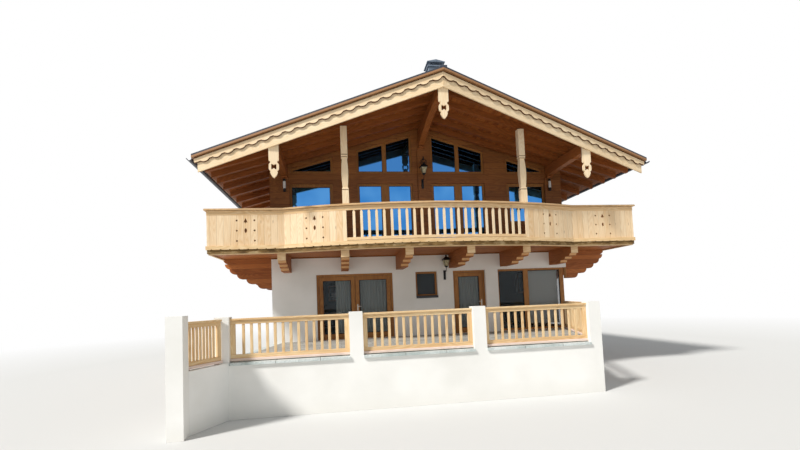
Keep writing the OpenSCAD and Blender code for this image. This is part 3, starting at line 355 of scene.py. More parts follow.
# The panes at the sides and the back are dark and opaque: painted shade of the unlit rooms behind them
room_shade_pane = clouded("painted_room_shade_glazing", 1.8, 1.0, rough=(0.02, 0.06), relief=(0.02, 0.01),
                      tones=[(0.35, "#1B2228"), (0.7, "#2B343B")], Specular_IOR_Level=0.8)


def panes(name, material, keep):
    """The panes of the windows whose points lie where keep says."""
    bm = bmesh.new()
    bm.from_mesh(nodes["window_glass"].data)
    bmesh.ops.remove_doubles(bm, verts=bm.verts[:], dist=0.0001)
    bmesh.ops.delete(bm, geom=[v for v in bm.verts if not keep(v.co)], context="VERTS")
    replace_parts(fit(name, bm, material), "window_glass")


# Heights between the storeys' windows, and the depth that parts the front's from the sides'
STOREY = 4.0
GABLE = 7.0
ROOM = FRONT + 1.6
panes("terrace_panes", clear_pane, lambda co: co.z < STOREY and co.y < ROOM)
panes("back_and_side_panes", room_shade_pane, lambda co: co.z < GABLE and co.y > ROOM)
panes("gable_storey_panes", sky_painted_pane, lambda co: STOREY < co.z < GABLE and co.y < ROOM)
panes("gable_lights", sky_painted_gable_pane, lambda co: co.z > GABLE)

# Extruded rubber, dull with dust
rubber = clouded("rubber_gasket", 14.0, 3.0, rough=(0.6, 0.8), tones=[(0.35, "#1C1B1A"), (0.7, "#2A2826")],
                 Specular_IOR_Level=0.3)


def gaskets(name, glass, body):
    """The rubber strips that seal panes against their frames, on both faces."""
    bm = bmesh.new()
    bm.from_mesh(nodes[glass].data)
    bmesh.ops.remove_doubles(bm, verts=bm.verts[:], dist=0.0001)
    bmesh.ops.dissolve_limit(bm, angle_limit=0.01, verts=bm.verts[:], edges=bm.edges[:])
    sheets = [f for f in bm.faces if f.calc_area() > 0.1]
    bmesh.ops.inset_individual(bm, faces=sheets, thickness=0.020)
    strips = {f for sheet in sheets for e in sheet.edges for f in e.link_faces} - set(sheets)
    bmesh.ops.delete(bm, geom=[f for f in bm.faces if f not in strips], context="FACES")
    bmesh.ops.solidify(bm, geom=bm.faces[:], thickness=-0.006)
    bmesh.ops.recalc_face_normals(bm, faces=bm.faces[:])
    fit(name, bm, rubber, body)


gaskets("window_gaskets", "window_glass", "house")
gaskets("double_left_gasket", "double_left_glass", "double_leaf_left")
gaskets("double_right_gasket", "double_right_glass", "double_leaf_right")
gaskets("terrace_door_gasket", "terrace_door_glass", "terrace_leaf")


# The upper storey. Spruce timber walls, planed and stained brown, in courses of 210 mm; square
# posts stand proud of the front under each purlin.

def lying(tree):
    """Coordinates for timber that lies along the front or the sides, in courses one above the other."""
    place = add(tree, "SeparateXYZ", {"Vector": add(tree, "TexCoord").outputs["Object"]})
    along = add(tree, "Math", {0: place.outputs["X"], 1: place.outputs["Y"]}, operation="ADD")
    return add(tree, "CombineXYZ", {"X": along.outputs["Value"], "Y": place.outputs["Z"],
                                    "Z": 0.0}).outputs["Vector"]


# Each course has taken the stain a little differently, and the joints between them are dark
stained_timber = planed("stained_spruce_courses", "#A06634", "#784822", source=lying, boards=0.21,
                        matt=0.5)
dress(stained_timber, "front_gable", "back_gable", "upper_side_walls", "upper_floor")


# The balcony. Larch throughout, left to its own pale colour under clear oil: tongued parapet boards
# with pierced ornaments, waisted balusters, a bowed handrail and mouldings bent round the edge.

DECK = 4.25
# The bow's radius, its centre's distance behind the facade, half its width and half its open part;
# then where the straight wings' faces stand beside the house and in front of it
BOW = 14.0328
BOW_Y = 11.5928
BOW_HALF = 4.57
OPEN_HALF = 2.74
WING_X = 6.735
WING_Y = -1.675


def standing(tree):
    """Coordinates for boards that stand side by side round the balcony."""
    place = add(tree, "SeparateXYZ", {"Vector": add(tree, "TexCoord").outputs["Object"]})
    away = add(tree, "Math", {0: place.outputs["X"]}, operation="ABSOLUTE")
    side = add(tree, "Math", {0: away.outputs["Value"], 1: WING_X - 0.045},
               operation="GREATER_THAN")
    round_edge = add(tree, "Mix", {"Factor": side.outputs["Value"], "A": place.outputs["X"],
                                   "B": place.outputs["Y"]}, data_type="FLOAT")
    return add(tree, "CombineXYZ", {"X": place.outputs["Z"], "Y": round_edge.outputs["Result"],
                                    "Z": 0.0}).outputs["Vector"]


# The oil brings out the boards' knots and flames; posts, balusters and pendants are of paler, knot-free
# larch, made paler still as painted light, and the handrail is darker as painted shade
larch_boards = planed("larch_parapet_boards", "#F4DCB8", "#E0BC8E", source=standing, boards=0.19,
                      knots=0.5, seam=0.32)
larch_upright = planed("larch_upright", "#FAE7C8", "#E8C99C", source=upright_grain)
larch_planed = planed("larch_planed", "#EFD3A8", "#D3A974", knots=0.5)
larch_rail_shade = planed("larch_rail_painted_shade", "#DDBC90", "#BC9464")
dress(larch_boards, "balcony_boards")
dress(larch_upright, "balcony_balusters", "carved_posts", "purlin_pendants")


def arc(half, chords):
    """Plan of the bow between plus and minus an x, with a number of chords on each side."""
    end = math.asin(half / BOW)
    return [Vector((BOW * math.sin(a), BOW_Y - BOW * math.cos(a)))
            for a in (end * (i / chords - 1) for i in range(2 * chords + 1))]


def mould(bm, path, outline):
    """Draws an outline of outward distances and heights along a path on plan, mitred at corners."""
    grain = bm.verts.layers.float_vector["grain"]
    log = Vector([chance.uniform(0, 30) for _ in range(3)])
    gone, ring, edges = 0.0, [], []
    for i, corner in enumerate(path):
        before = (corner - path[i - 1]).normalized() if i else (path[1] - corner).normalized()
        after = (path[i + 1] - corner).normalized() if i + 1 < len(path) else before
        gone += (corner - path[i - 1]).length if i else 0.0
        out = Vector((before.y + after.y, -before.x - after.x)) / (1 + before.dot(after))
        if i:
            made = {v for v in bmesh.ops.extrude_edge_only(bm, edges=edges)["geom"]
                    if isinstance(v, bmesh.types.BMVert)}
            ring = [next(e.other_vert(v) for e in v.link_edges if e.other_vert(v) in made) for v in ring]
        else:
            ring = [bm.verts.new() for _ in outline]
            for a, b in zip(ring, ring[1:] + ring[:1]):
                bm.edges.new((a, b))
        edges = [bm.edges.get((a, b)) for a, b in zip(ring, ring[1:] + ring[:1])]
        for v, (u, z) in zip(ring, outline):
            v.co = (corner.x + out.x * u, corner.y + out.y * u + FRONT, z)
            v[grain] = Vector((gone, u, z)) + log
        if i in (0, len(path) - 1):
            bmesh.ops.contextual_create(bm, geom=edges)


def moulding(name, material, slot, *runs):
    """A piece made of mouldings, each of them a path and an outline."""
    bm = timbers()
    for path, outline in runs:
        mould(bm, path, outline)
    bmesh.ops.recalc_face_normals(bm, faces=bm.faces[:])
    return fit(name, bm, material)


# The balcony's whole edge, from its left end round the bow to its right end
wing = [Vector((WING_X, WING_Y)), Vector((WING_X, 3.0))]
edge = [Vector((-p.x, p.y)) for p in reversed(wing)] + arc(BOW_HALF, 16) + wing
RAIL_FOOT = 5.200
RAIL_TOP = 5.320
CAP_FOOT = 5.334
CAP_TOP = 5.386
rail = [(0.006, RAIL_FOOT), (0.006, RAIL_TOP - 0.014), (0.020, RAIL_TOP), (-0.060, RAIL_TOP),
        (-0.060, RAIL_FOOT)]
# Between the parapet's solid parts the balusters stand on a rail of their own
baluster_rail = [(0.004, 4.316), (0.004, 4.392), (-0.006, 4.400), (-0.054, 4.400), (-0.060, 4.392),
                 (-0.060, 4.316)]
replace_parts(moulding("balcony_rail_boards", larch_planed, "carved_larch", (edge, rail),
                     (arc(OPEN_HALF, 10), baluster_rail)), "balcony_rails")
# The handrail's cap, darkened as painted shade, stands on a narrow packing strip
cap = [(0.066, CAP_FOOT), (0.066, CAP_TOP - 0.012), (0.054, CAP_TOP), (-0.084, CAP_TOP),
       (-0.096, CAP_TOP - 0.012), (-0.096, CAP_FOOT)]
packing = [(-0.012, RAIL_TOP), (-0.012, CAP_FOOT), (-0.042, CAP_FOOT), (-0.042, RAIL_TOP)]
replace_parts(moulding("balcony_handrail", larch_rail_shade, "carved_larch", (edge, cap), (edge, packing)),
            "balcony_rails")

# Boards that line the parapet's solid parts from behind and close its pierced ornaments; their dark stain
# is painted shade seen through the ornaments
lining = planed("painted_shade_lining", "#8A5A30", "#5E3A1C", source=standing, boards=0.14)
behind = [(-0.036, 4.300), (-0.036, 5.190), (-0.048, 5.190), (-0.048, 4.300)]
SOLID = OPEN_HALF + 0.06
moulding("parapet_lining", lining, "soffit_timber", ([p for p in edge if p.x < -SOLID], behind),
         ([p for p in edge if p.x > SOLID], behind))


def bent(tree):
    """Coordinates for boards bent round the bow: their grain follows the curve."""
    place = add(tree, "SeparateXYZ", {"Vector": add(tree, "TexCoord").outputs["Object"]})
    back = add(tree, "Math", {0: BOW_Y + FRONT, 1: place.outputs["Y"]}, operation="SUBTRACT")
    turn = add(tree, "Math", {0: place.outputs["X"], 1: back.outputs["Value"]}, operation="ARCTAN2")
    along = add(tree, "Math", {0: turn.outputs["Value"], 1: BOW}, operation="MULTIPLY")
    return add(tree, "CombineXYZ", {"X": along.outputs["Value"], "Y": place.outputs["Z"],
                                    "Z": 0.0}).outputs["Vector"]


# The notched moulding is a shade warmer than the boards, and its grain runs round the bow
dress(planed("larch_moulding", "#F1D5A8", "#D6AC74", source=bent), "balcony_trim")

# Rain off the parapet has weathered the board on the deck's edge to a blotchy olive brown, darkened
# further as painted shade
edge_wear_and_shade, tree, shader = finish("larch_edge_wear_and_shade", Specular_IOR_Level=0.25)
place = add(tree, "Attribute", attribute_name="grain").outputs["Vector"]
stretched = add(tree, "Mapping", {"Vector": place, "Scale": (3.0, 9.0, 9.0)}).outputs["Vector"]
stain = add(tree, "TexNoise", {"Vector": stretched, "Scale": 1.0, "Detail": 5.0, "Roughness": 0.65})
tone = add(tree, "ValToRGB", {"Fac": stain.outputs["Fac"]},
           stops=[(0.36, "#5B4426"), (0.52, "#84683E"), (0.68, "#B9A27A")])
tree.links.new(tone.outputs["Color"], shader.inputs["Base Color"])
rough = add(tree, "MapRange", {"Value": stain.outputs["Fac"], "To Min": 0.65, "To Max": 0.9})
tree.links.new(rough.outputs["Result"], shader.inputs["Roughness"])
bump = add(tree, "Bump", {"Height": stain.outputs["Fac"], "Strength": 0.3, "Distance": 0.003})
tree.links.new(bump.outputs["Normal"], shader.inputs["Normal"])
BOARD_FOOT = 4.078
moulding("balcony_edge_board", edge_wear_and_shade, "carved_larch",
         (edge, [(-0.002, BOARD_FOOT), (-0.002, 4.200), (-0.026, 4.200), (-0.026, BOARD_FOOT)]))

# A narrow ledger strip under the deck, and end boards on the consoles, whose pale larch is partly painted
# light on the ends
moulding("balcony_ledger", larch_planed, "carved_larch",
         (edge, [(-0.030, 4.046), (-0.030, BOARD_FOOT), (-0.070, BOARD_FOOT), (-0.070, 4.046)]))

CONSOLES_APART = 1.87
bm = timbers()
for x in (side * CONSOLES_APART * step for side in (-1, 1) for step in (0.5, 1.5, 2.5)):
    face = BOW_Y - math.sqrt(BOW ** 2 - x ** 2) if abs(x) < BOW_HALF else WING_Y
    front = FRONT + face + 0.16
    board(bm, (x - 0.122, front - 0.012, 3.848), (x + 0.122, front, 4.088), run=0)
ease(bm, 0.004)
fit("console_end_boards", bm, larch_planed)


# Fittings of the doors and windows: folded sheet sills, lever handles, voile curtains on rods and
# a roller blind, as the panes show them.

# Coated sheet, whose oil-canning is drawn in waves of 170 mm
slate_sheet = clouded("slate_grey_sheet", 6.0, 2.0, rough=(0.4, 0.55),
                      tones=[(0.3, "#23242A"), (0.7, "#33353D")], Specular_IOR_Level=0.45)

SILL = 2.63
UPPER_SILL = DECK + 0.85
WINDOW = 1.2
SIDE = 5.2
BACK = 9.6


def sill(bm, start, end, z, reach):
    """A folded sill from a window's frame out over the wall's face, along a line on plan."""
    mould(bm, [Vector(start), Vector(end)],
          [(0.036, z - 0.060), (0.036, z + 0.008), (-reach, z + 0.030), (-reach, z + 0.022),
           (0.028, z + 0.001), (0.028, z - 0.060)])


bm = timbers()
sill(bm, (-0.385, 0), (0.385, 0), SILL, 0.12)
for x in (-3.588, -0.6, 2.388):
    sill(bm, (x + WINDOW, BACK), (x, BACK), SILL, 0.16)
for x in (-2.1, 0.9):
    sill(bm, (x + WINDOW, BACK), (x, BACK), UPPER_SILL, 0.06)
for y in (2.592, 6.0):
    for z, reach in ((SILL, 0.12), (UPPER_SILL, 0.06)):
        sill(bm, (SIDE, y), (SIDE, y + WINDOW), z, reach)
        sill(bm, (-SIDE, y + WINDOW), (-SIDE, y), z, reach)
bmesh.ops.recalc_face_normals(bm, faces=bm.faces[:])
fit("window_sills", bm, slate_sheet)

# Nickel drawn over a fine belt, whose scratches of 0.1 mm are drawn 1 mm apart
brushed_nickel, tree, shader = finish("brushed_nickel", Metallic=1.0, Base_Color=linear("#B9B4AA"))
place = add(tree, "TexCoord").outputs["Object"]
brushed = add(tree, "Mapping", {"Vector": place, "Scale": (40.0, 40.0, 900.0)}).outputs["Vector"]
hair = add(tree, "TexNoise", {"Vector": brushed, "Scale": 1.0, "Detail": 2.0})
polish = add(tree, "MapRange", {"Value": hair.outputs["Fac"], "To Min": 0.25, "To Max": 0.42})
tree.links.new(polish.outputs["Result"], shader.inputs["Roughness"])

LEAF_OUTSIDE = FRONT + 0.126
LEAF_INSIDE = FRONT + 0.194
LEVER = 2.380

# A back plate, the lever's neck and the lever, which points to side
for name, leaf, x, side in (("double_door_handle", "double_leaf_right", -2.40, 1),
                            ("terrace_door_handle", "terrace_leaf", 1.985, -1)):
    bm = timbers()
    board(bm, (x - 0.017, LEAF_OUTSIDE - 0.008, 2.23), (x + 0.017, LEAF_OUTSIDE, 2.45))
    board(bm, (x - 0.009, LEAF_OUTSIDE - 0.052, LEVER - 0.009),
          (x + 0.009, LEAF_OUTSIDE - 0.007, LEVER + 0.009), run=1)
    near, far = sorted((x - side * 0.010, x + side * 0.125))
    board(bm, (near, LEAF_OUTSIDE - 0.060, LEVER - 0.010), (far, LEAF_OUTSIDE - 0.046, LEVER + 0.010))
    ease(bm, 0.003, segments=2)
    fit(name, bm, brushed_nickel, leaf)


def woven(name, thin, thick):
    """Plain-woven polyester of 0.5 mm threads, whose weave is drawn 8 mm apart."""
    return clouded(name, 120.0, 2.0, rough=(0.85, 0.98), tones=[(0.3, thin), (0.7, thick)],
                   Specular_IOR_Level=0.1)


# Greyish white voile, matt and soft behind the panes
voile = woven("voile_curtain", "#B9C4C2", "#CDD6D3")

# The rods are screwed to the leaves' inner faces, so that the curtains swing with the doors
ROD_Y = LEAF_INSIDE + 0.048
ROD_Z = 3.345
ROD_R = 0.008
CURTAIN_FOOT = 1.40
CLOTH = 0.002
LYING = Matrix.Rotation(math.pi / 2, 4, "Y")


def curtain(name, leaf, left, right):
    """A voile curtain hung in loose folds from a rod on a leaf, closed as a thin sheet."""
    bm = timbers()
    rod = Matrix.Translation(((left + right) / 2, ROD_Y, ROD_Z)) @ LYING
    bmesh.ops.create_cone(bm, cap_ends=True, segments=24, radius1=ROD_R, radius2=ROD_R,
                          depth=right - left + 0.06, matrix=rod)
    for x in (left - 0.03, right + 0.03):
        bmesh.ops.create_uvsphere(bm, u_segments=20, v_segments=12, radius=0.014,
                                  matrix=Matrix.Translation((x, ROD_Y, ROD_Z)))
    for x in (left - 0.014, right + 0.014):
        board(bm, (x - 0.005, LEAF_INSIDE - 0.002, ROD_Z - 0.020),
              (x + 0.005, ROD_Y + 0.004, ROD_Z - 0.006), run=1)
    fit(name + "_rod", bm, brushed_nickel, leaf)
    folds = max(3, round((right - left) / 0.11))
    foot, head = CURTAIN_FOOT, ROD_Z - ROD_R - 0.002
    bm = timbers()
    bmesh.ops.create_grid(bm, x_segments=folds * 10, y_segments=8, size=0.5)
    for v in bm.verts:
        across, up = v.co.x + 0.5, v.co.y + 0.5
        swing = (0.022 - 0.008 * up) * math.sin(2 * math.pi * folds * across + 0.5 * math.sin(9 * across))
        v.co = (left + (right - left) * across, ROD_Y + swing, foot + (head - foot) * up)
    bmesh.ops.recalc_face_normals(bm, faces=bm.faces[:])
    bmesh.ops.solidify(bm, geom=bm.faces[:], thickness=CLOTH)
    fit(name, bm, voile, leaf)


curtain("left_door_curtain", "double_leaf_left", -3.13, -2.63)
curtain("right_door_curtain", "double_leaf_right", -2.29, -1.39)
curtain("terrace_door_curtain", "terrace_leaf", 1.16, 1.92)

# The blind hangs straight from its tube behind the corner window's right-hand panel
BLIND_WIDTH = 1.16
BLIND_DROP = 1.90
BLIND_LEFT = 3.80
BLIND_FOOT = 1.50
BLIND_Y = FRONT + 0.277
bm = timbers()
bmesh.ops.create_cone(bm, cap_ends=True, segments=32, radius1=0.022, radius2=0.022, depth=1.20,
                      matrix=Matrix.Translation((4.39, FRONT + 0.30, BLIND_FOOT + BLIND_DROP)) @ LYING)
board(bm, (BLIND_LEFT, BLIND_Y - 0.006, BLIND_FOOT - 0.010),
      (BLIND_LEFT + BLIND_WIDTH, BLIND_Y + 0.004, BLIND_FOOT + 0.020))
ease(bm, 0.002)
fit("blind_tube", bm, brushed_nickel)
bm = timbers()
bmesh.ops.create_grid(bm, x_segments=12, y_segments=24, size=0.5)
for v in bm.verts:
    v.co = (BLIND_LEFT + BLIND_WIDTH * (v.co.x + 0.5), BLIND_Y, BLIND_FOOT + BLIND_DROP * (v.co.y + 0.5))
bmesh.ops.recalc_face_normals(bm, faces=bm.faces[:])
bmesh.ops.solidify(bm, geom=bm.faces[:], thickness=CLOTH)
fit("roller_blind", bm, woven("blind_cloth", "#E6EEEA", "#F8FBF8"))


# The balcony's floor and what carries it, and the roof's timbers. Spruce with a brown stain: console
# beams on stepped corbels, stepped side brackets, rafters, purlins and roof boarding.

def across_slope(tree):
    """Coordinates for boarding nailed across the rafters, from the ridge down both slopes."""
    place = add(tree, "SeparateXYZ", {"Vector": add(tree, "TexCoord").outputs["Object"]})
    down = add(tree, "Math", {0: place.outputs["X"]}, operation="ABSOLUTE")
    return add(tree, "CombineXYZ", {"X": place.outputs["Y"], "Y": down.outputs["Value"],
                                    "Z": place.outputs["Z"]}).outputs["Vector"]


def deep_grain(tree):
    """Coordinates for beams that run from front to back."""
    place = add(tree, "TexCoord").outputs["Object"]
    return add(tree, "Mapping", {"Vector": place, "Rotation": (0, 0, -math.pi / 2)}).outputs["Vector"]


RIDGE = 8.86
PITCH = math.radians(16.5)


def down_slope(tree):
    """Coordinates for pieces that run down both slopes from the ridge."""
    place = add(tree, "SeparateXYZ", {"Vector": add(tree, "TexCoord").outputs["Object"]})
    down = add(tree, "Math", {0: place.outputs["X"]}, operation="ABSOLUTE")
    folded = add(tree, "CombineXYZ", {"X": down.outputs["Value"], "Y": place.outputs["Y"],
                                      "Z": place.outputs["Z"]})
    return add(tree, "Mapping", {"Vector": folded.outputs["Vector"],
                                 "Rotation": (0, -PITCH, 0)}).outputs["Vector"]


# Seen from below, the boarding is redder than the walls, and the beams are a shade lighter
dress(planed("stained_roof_boarding", "#A9652F", "#7A411A", source=across_slope, boards=0.14),
      "roof_boarding")
dress(planed("stained_rafters", "#A15C28", "#74401A", source=down_slope), "roof_rafters")
dress(planed("stained_beams", "#AE6A35", "#80481F", source=deep_grain), "roof_purlins")


def paint_lit_ends(made, axis):
    """Paints the faces of stained beams that look along an axis pale: painted light on their ends."""
    tree, shader = made.node_tree, made.node_tree.nodes["Principled BSDF"]
    facing = add(tree, "SeparateXYZ", {"Vector": add(tree, "NewGeometry").outputs["Normal"]})
    square = add(tree, "Math", {0: facing.outputs[axis]}, operation="ABSOLUTE")
    sawn = add(tree, "MapRange", {"Value": square.outputs["Value"], "From Min": 0.5, "From Max": 0.9,
                                  "To Min": 0.0, "To Max": 0.75})
    stain = shader.inputs["Base Color"].links[0].from_socket
    # Faces that look along the axis turn pale: painted light
    clear = add(tree, "Mix", {"Factor": sawn.outputs["Result"], UNDER: stain, OVER: linear("#E6B983")},
                data_type="RGBA")
    tree.links.new(clear.outputs[MIXED], shader.inputs["Base Color"])
    return made


dress(paint_lit_ends(planed("stained_consoles", "#AE6A35", "#80481F", source=deep_grain), "Y"),
      "balcony_consoles")


def tiers(tree):
    """Coordinates for beams from left to right, six to the metre one under the other from the deck."""
    place = add(tree, "SeparateXYZ", {"Vector": add(tree, "TexCoord").outputs["Object"]})
    drop = add(tree, "Math", {0: DECK - 0.16, 1: place.outputs["Z"]}, operation="SUBTRACT")
    return add(tree, "CombineXYZ", {"X": place.outputs["X"], "Y": drop.outputs["Value"],
                                    "Z": place.outputs["Y"]}).outputs["Vector"]


dress(paint_lit_ends(planed("stained_brackets", "#B8713B", "#8A4C22", source=tiers, boards=1 / 6), "X"),
      "side_brackets")
# The deck's underside is a bright brown between the consoles
dress(planed("stained_deck", "#B8713B", "#8A4C22", boards=0.145,
             source=lambda tree: add(tree, "TexCoord").outputs["Object"]), "balcony_deck")


# The verge. Two larch boards one over the other down each slope, the upper one sawn in scallops.

# The palest larch of the house, still new
larch_verge = planed("larch_verge", "#F6E0BC", "#E4C498", source=down_slope)
dress(larch_verge, "lower_fascia")


def verge_board(name, material, top, foot, back):
    """A board with the scalloped board's outline, its upper and lower edge drawn elsewhere."""
    bm = bmesh.new()
    bm.from_mesh(nodes["upper_fascia"].data)
    bmesh.ops.remove_doubles(bm, verts=bm.verts[:], dist=0.0001)
    for v in bm.verts:
        level = RIDGE - abs(v.co.x) * math.tan(PITCH)
        depth = (level - v.co.z) * math.cos(PITCH)
        depth = top(depth) if depth < 0.15 else foot(depth)
        v.co = (v.co.x, v.co.y + (back if v.co.y < 0 else -back), level - depth / math.cos(PITCH))
    return fit(name, bm, material)


# The scalloped board hangs below a brown edge board, and a dark strip behind it, a painted shadow, draws
# its outline on the plain board
stained_edge = planed("stained_edge_board", "#9A6A3E", "#6E4626", source=down_slope)
painted_shadow_larch = planed("painted_shadow_larch", "#6A4526", "#4A2D17", source=down_slope)
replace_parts(verge_board("verge_scallops", larch_verge, lambda d: d + 0.045, lambda d: d - 0.082, 0.0),
            "upper_fascia")
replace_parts(verge_board("verge_edge_board", stained_edge, lambda d: d, lambda d: 0.105, 0.015),
            "upper_fascia")
verge_board("verge_strip", painted_shadow_larch, lambda d: d + 0.045, lambda d: d - 0.066, 0.006)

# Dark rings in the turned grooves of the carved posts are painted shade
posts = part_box("carved_posts")
y = (posts[0][1] + posts[1][1]) / 2
bm = timbers()
for x in (posts[0][0] + 0.095, posts[1][0] - 0.095):
    for z in (5.801, 6.776, 6.851):
        board(bm, (x - 0.086, y - 0.086, z - 0.010), (x + 0.086, y + 0.086, z + 0.010))
ease(bm, 0.003)
fit("post_grooves", bm, planed("painted_groove_shade", "#6A4526", "#4A2D17"))


# The roof covering, its gutters, the chimney and the lanterns. Standing-seam sheets of coated
# aluminium over battens, half-round gutters, a chimney clad in sheet, and wrought iron lanterns.

# Strips of 520 mm, whose oil-canning is drawn in waves of 600 mm, over battens with brown ends
coated_sheet = clouded("coated_aluminium_sheet", 1.6, 2.0, rough=(0.38, 0.55), relief=(0.1, 0.01),
                       tones=[(0.3, "#2B2F38"), (0.7, "#3A3F4A")], Specular_IOR_Level=0.45)
tree, shader = coated_sheet.node_tree, coated_sheet.node_tree.nodes["Principled BSDF"]
place = add(tree, "SeparateXYZ", {"Vector": add(tree, "TexCoord").outputs["Object"]})
away = add(tree, "Math", {0: place.outputs["X"]}, operation="ABSOLUTE")
top = add(tree, "Math", {0: away.outputs["Value"], 1: math.tan(PITCH), 2: place.outputs["Z"]},
          operation="MULTIPLY_ADD")
below = add(tree, "Math", {0: top.outputs["Value"], 1: RIDGE - 0.045}, operation="LESS_THAN")
batten = add(tree, "Mix", {"Factor": below.outputs["Value"], OVER: linear("#9A6F48"),
                           UNDER: shader.inputs["Base Color"].links[0].from_socket}, data_type="RGBA")
tree.links.new(batten.outputs[MIXED], shader.inputs["Base Color"])
dress(coated_sheet, "roof_covering")
# The gutters and the seams are of a lighter sheet, folded by hand
dark_sheet = clouded("dark_folded_sheet", 3.0, 3.0, rough=(0.35, 0.5), relief=(0.1, 0.005),
                     tones=[(0.3, "#343A46"), (0.7, "#454C5A")], Specular_IOR_Level=0.45)
dress(dark_sheet, "gutters")
# Rain has left a pale bloom on the chimney's zinc
zinc_sheet = clouded("weathered_zinc_sheet", 5.0, 4.0, rough=(0.4, 0.6), relief=(0.1, 0.005),
                     tones=[(0.3, "#5C6979"), (0.7, "#7C8A9A")], Specular_IOR_Level=0.5)
dress(zinc_sheet, "chimney")

RIDGE_END = FRONT - 3.5
EAVES_END = FRONT - 2.2
BACK_END = FRONT + 10.8
HALF_ROOF = 6.95

bm = timbers()
for i in range(27):
    y = RIDGE_END + 0.30 + i * 0.52
    # The verge falls back from the ridge to the eaves, so the first seams are short
    reach = min(HALF_ROOF, (y - RIDGE_END) * HALF_ROOF / (EAVES_END - RIDGE_END)) / math.cos(PITCH)
    for side in (1, -1):
        slope = Matrix.Translation((0, y, RIDGE)) @ Matrix.Rotation(side * PITCH, 4, "Y")
        near, far = sorted((0.06 * side, reach * side))
        board(bm, (near, -0.012, -0.002), (far, 0.012, 0.026), slope)
board(bm, (-0.10, RIDGE_END - 0.055, RIDGE - 0.030), (0.10, BACK_END + 0.055, RIDGE + 0.022))
fit("standing_seams", bm, dark_sheet)

# Forged iron with hammer marks of 30 mm, blackened in oil
wrought_iron = clouded("wrought_iron", 30.0, 3.0, rough=(0.45, 0.7), relief=(0.3, 0.002),
                       tones=[(0.3, "#1B1B1D"), (0.7, "#2C2B2C")], Metallic=0.6)
dress(wrought_iron, "lanterns")

# A crown of six bent bars and a finial on the ridge post's lantern
CAGE_OUT = 0.301
POST_LANTERN_OUT = CAGE_OUT + 0.060
bm = timbers()
crown = [(0.050, 0.0), (0.112, 0.045), (0.124, 0.100), (0.085, 0.160), (0.022, 0.195)]
for turn in range(6):
    around = (Matrix.Translation((0, FRONT - POST_LANTERN_OUT, 7.150))
              @ Matrix.Rotation(turn * math.pi / 3, 4, "Z"))
    for (r0, z0), (r1, z1) in zip(crown, crown[1:]):
        slope = math.atan2(z1 - z0, r1 - r0)
        bar = around @ Matrix.Translation((r0, 0, z0)) @ Matrix.Rotation(-slope, 4, "Y")
        board(bm, (-0.004, -0.011, -0.005), (math.hypot(r1 - r0, z1 - z0) + 0.004, 0.011, 0.005), bar)
ease(bm, 0.0015)
for z, radius in ((7.345, 0.030), (7.400, 0.022), (7.440, 0.012)):
    centre = Matrix.Translation((0, FRONT - POST_LANTERN_OUT, z))
    bmesh.ops.create_uvsphere(bm, u_segments=16, v_segments=10, radius=radius,
                              matrix=centre @ Matrix.Diagonal((1, 1, 1.25, 1)))
fit("lantern_crown", bm, wrought_iron)

# The lanterns' cages have seeded glass, and the two tube lamps by the outer purlins white opal glass
seeded_glass = clouded("seeded_glass", 26.0, 2.0, rough=(0.08, 0.22), relief=(0.3, 0.003),
                       tones=[(0.35, "#8F8660"), (0.7, "#C9C09A")], Specular_IOR_Level=0.6)
bm = timbers()
for x, out, foot in ((0.650, CAGE_OUT, 3.610), (0.0, POST_LANTERN_OUT, 6.820)):
    for turn in range(4):
        face = Matrix.Translation((x, FRONT - out, foot)) @ Matrix.Rotation(turn * math.pi / 2, 4, "Z")
        for v in bmesh.ops.create_cube(bm, size=1.0)["verts"]:
            # The cage widens from 96 mm at its foot to 224 mm at its head, 250 mm higher
            up = 0.03 + 0.19 * (v.co.z + 0.5)
            half = 0.048 + (0.112 - 0.048) * up / 0.25
            v.co = face @ Vector((v.co.x * 2 * (half - 0.014), -half + 0.002 - 0.005 * (0.5 - v.co.y), up))
fit("lantern_panes", bm, seeded_glass)

opal_glass = clouded("opal_glass", 9.0, 2.0, rough=(0.1, 0.2), tones=[(0.3, "#DCDCD6"), (0.7, "#F0F0EC")],
                     Specular_IOR_Level=0.5)
bm = timbers()
for x in (-4.7, 4.7):
    tube = bmesh.ops.create_cone(bm, cap_ends=True, segments=32, radius1=0.046, radius2=0.046, depth=0.24,
                                 matrix=Matrix.Translation((x, FRONT - 0.135, 6.513)))["verts"]
    rims = {e for v in tube for e in v.link_edges if any(len(f.verts) > 4 for f in e.link_faces)}
    ease(bm, 0.006, segments=2, edges=list(rims))
fit("opal_tubes", bm, opal_glass)


# Floor, backdrop, light and camera: a pale floor that keeps the shadow, a white surround, a soft
# lamp from the left front and the view that the photograph has.

# To the camera, the floor fades into the white surround between 16 m and 34 m from the house
pale_floor, tree, shader = finish("pale_floor", Roughness=0.9, Specular_IOR_Level=0.1,
                                  Base_Color=linear("#D2D2D0"))
away = add(tree, "VectorMath", {0: add(tree, "TexCoord").outputs["Object"]}, operation="LENGTH")
fade = add(tree, "MapRange", {"Value": away.outputs["Value"], "From Min": 16.0, "From Max": 34.0})
camera_ray = add(tree, "LightPath").outputs["Is Camera Ray"]
seen = add(tree, "Math", {0: fade.outputs["Result"], 1: camera_ray}, operation="MULTIPLY")
white = add(tree, "Emission", {"Color": (1, 1, 1, 1), "Strength": 1.0})
both = add(tree, "MixShader", {"Fac": seen.outputs["Value"], 1: shader.outputs["BSDF"],
                               2: white.outputs["Emission"]})
tree.links.new(both.outputs["Shader"], tree.nodes["Material Output"].inputs["Surface"])
bm = bmesh.new()
bmesh.ops.create_circle(bm, cap_ends=True, segments=96, radius=70)
mesh = bpy.data.meshes.new("floor")
bm.to_mesh(mesh)
bm.free()
mesh.transform(Matrix.Translation((0, 0, -0.002)))
mesh.materials.append(pale_floor)
floor = bpy.data.objects.new("floor", mesh)
bpy.context.scene.collection.objects.link(floor)

world = bpy.data.worlds.new("studio")
bpy.context.scene.world = world
world.use_nodes = True
tree = world.node_tree
tree.nodes.clear()
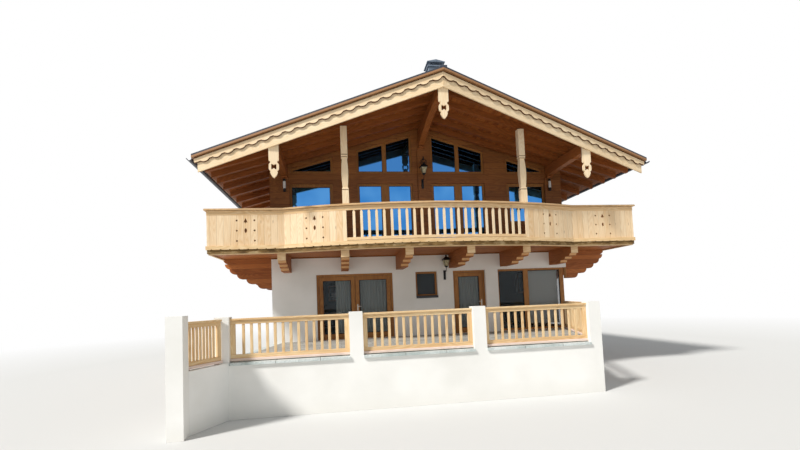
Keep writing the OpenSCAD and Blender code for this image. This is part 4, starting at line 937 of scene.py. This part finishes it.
# White to the camera, in mirror images and through the panes; a weaker fill for everything else
ray = add(tree, "LightPath").outputs
seen = add(tree, "Math", {0: ray["Is Camera Ray"], 1: ray["Is Glossy Ray"]}, operation="MAXIMUM")
seen = add(tree, "Math", {0: seen.outputs["Value"], 1: ray["Is Transmission Ray"]}, operation="MAXIMUM")
fill = add(tree, "Background", {"Color": (0.93, 0.965, 1, 1), "Strength": 0.46})
surround = add(tree, "Background", {"Color": (1, 1, 1, 1), "Strength": 1.0})
both = add(tree, "MixShader", {"Fac": seen.outputs["Value"], 1: fill.outputs["Background"],
                               2: surround.outputs["Background"]})
add(tree, "OutputWorld", {"Surface": both.outputs["Shader"]})

lamp = bpy.data.lights.new("key", "SUN")
lamp.energy = 3.95
lamp.color = (1.0, 0.975, 0.94)
lamp.angle = math.radians(8)
key = bpy.data.objects.new("key", lamp)
key.rotation_euler = (math.radians(45), 0, math.radians(-60))
bpy.context.scene.collection.objects.link(key)

# The camera as solved from the photo's points: its focal length in pixels of the photo's width, its
# place, and in radians its turn to the right, its tilt up and its roll
PHOTO_WIDTH = 800
FOCAL = 427.747
PLACE = (-3.0325, -17.1418, 2.5156)
yaw, pitch, roll = 0.144, 0.0589, -0.0414
ahead = Vector((math.sin(yaw), math.cos(yaw), 0))
right = Vector((math.cos(yaw), -math.sin(yaw), 0))
upward = Vector((0, 0, 1))
look = ahead * math.cos(pitch) + upward * math.sin(pitch)
lift = upward * math.cos(pitch) - ahead * math.sin(pitch)
sideways = right * math.cos(roll) + lift * math.sin(roll)
over = lift * math.cos(roll) - right * math.sin(roll)
camera = bpy.data.cameras.new("camera")
camera.sensor_width = 36
camera.lens = FOCAL / PHOTO_WIDTH * camera.sensor_width
camera.shift_y = 0.063
camera.clip_end = 200
eye = bpy.data.objects.new("camera", camera)
eye.matrix_world = Matrix.Translation(PLACE) @ Matrix((sideways, over, -look)).transposed().to_4x4()
bpy.context.scene.collection.objects.link(eye)
bpy.context.scene.camera = eye
bpy.context.scene.view_settings.view_transform = "Standard"
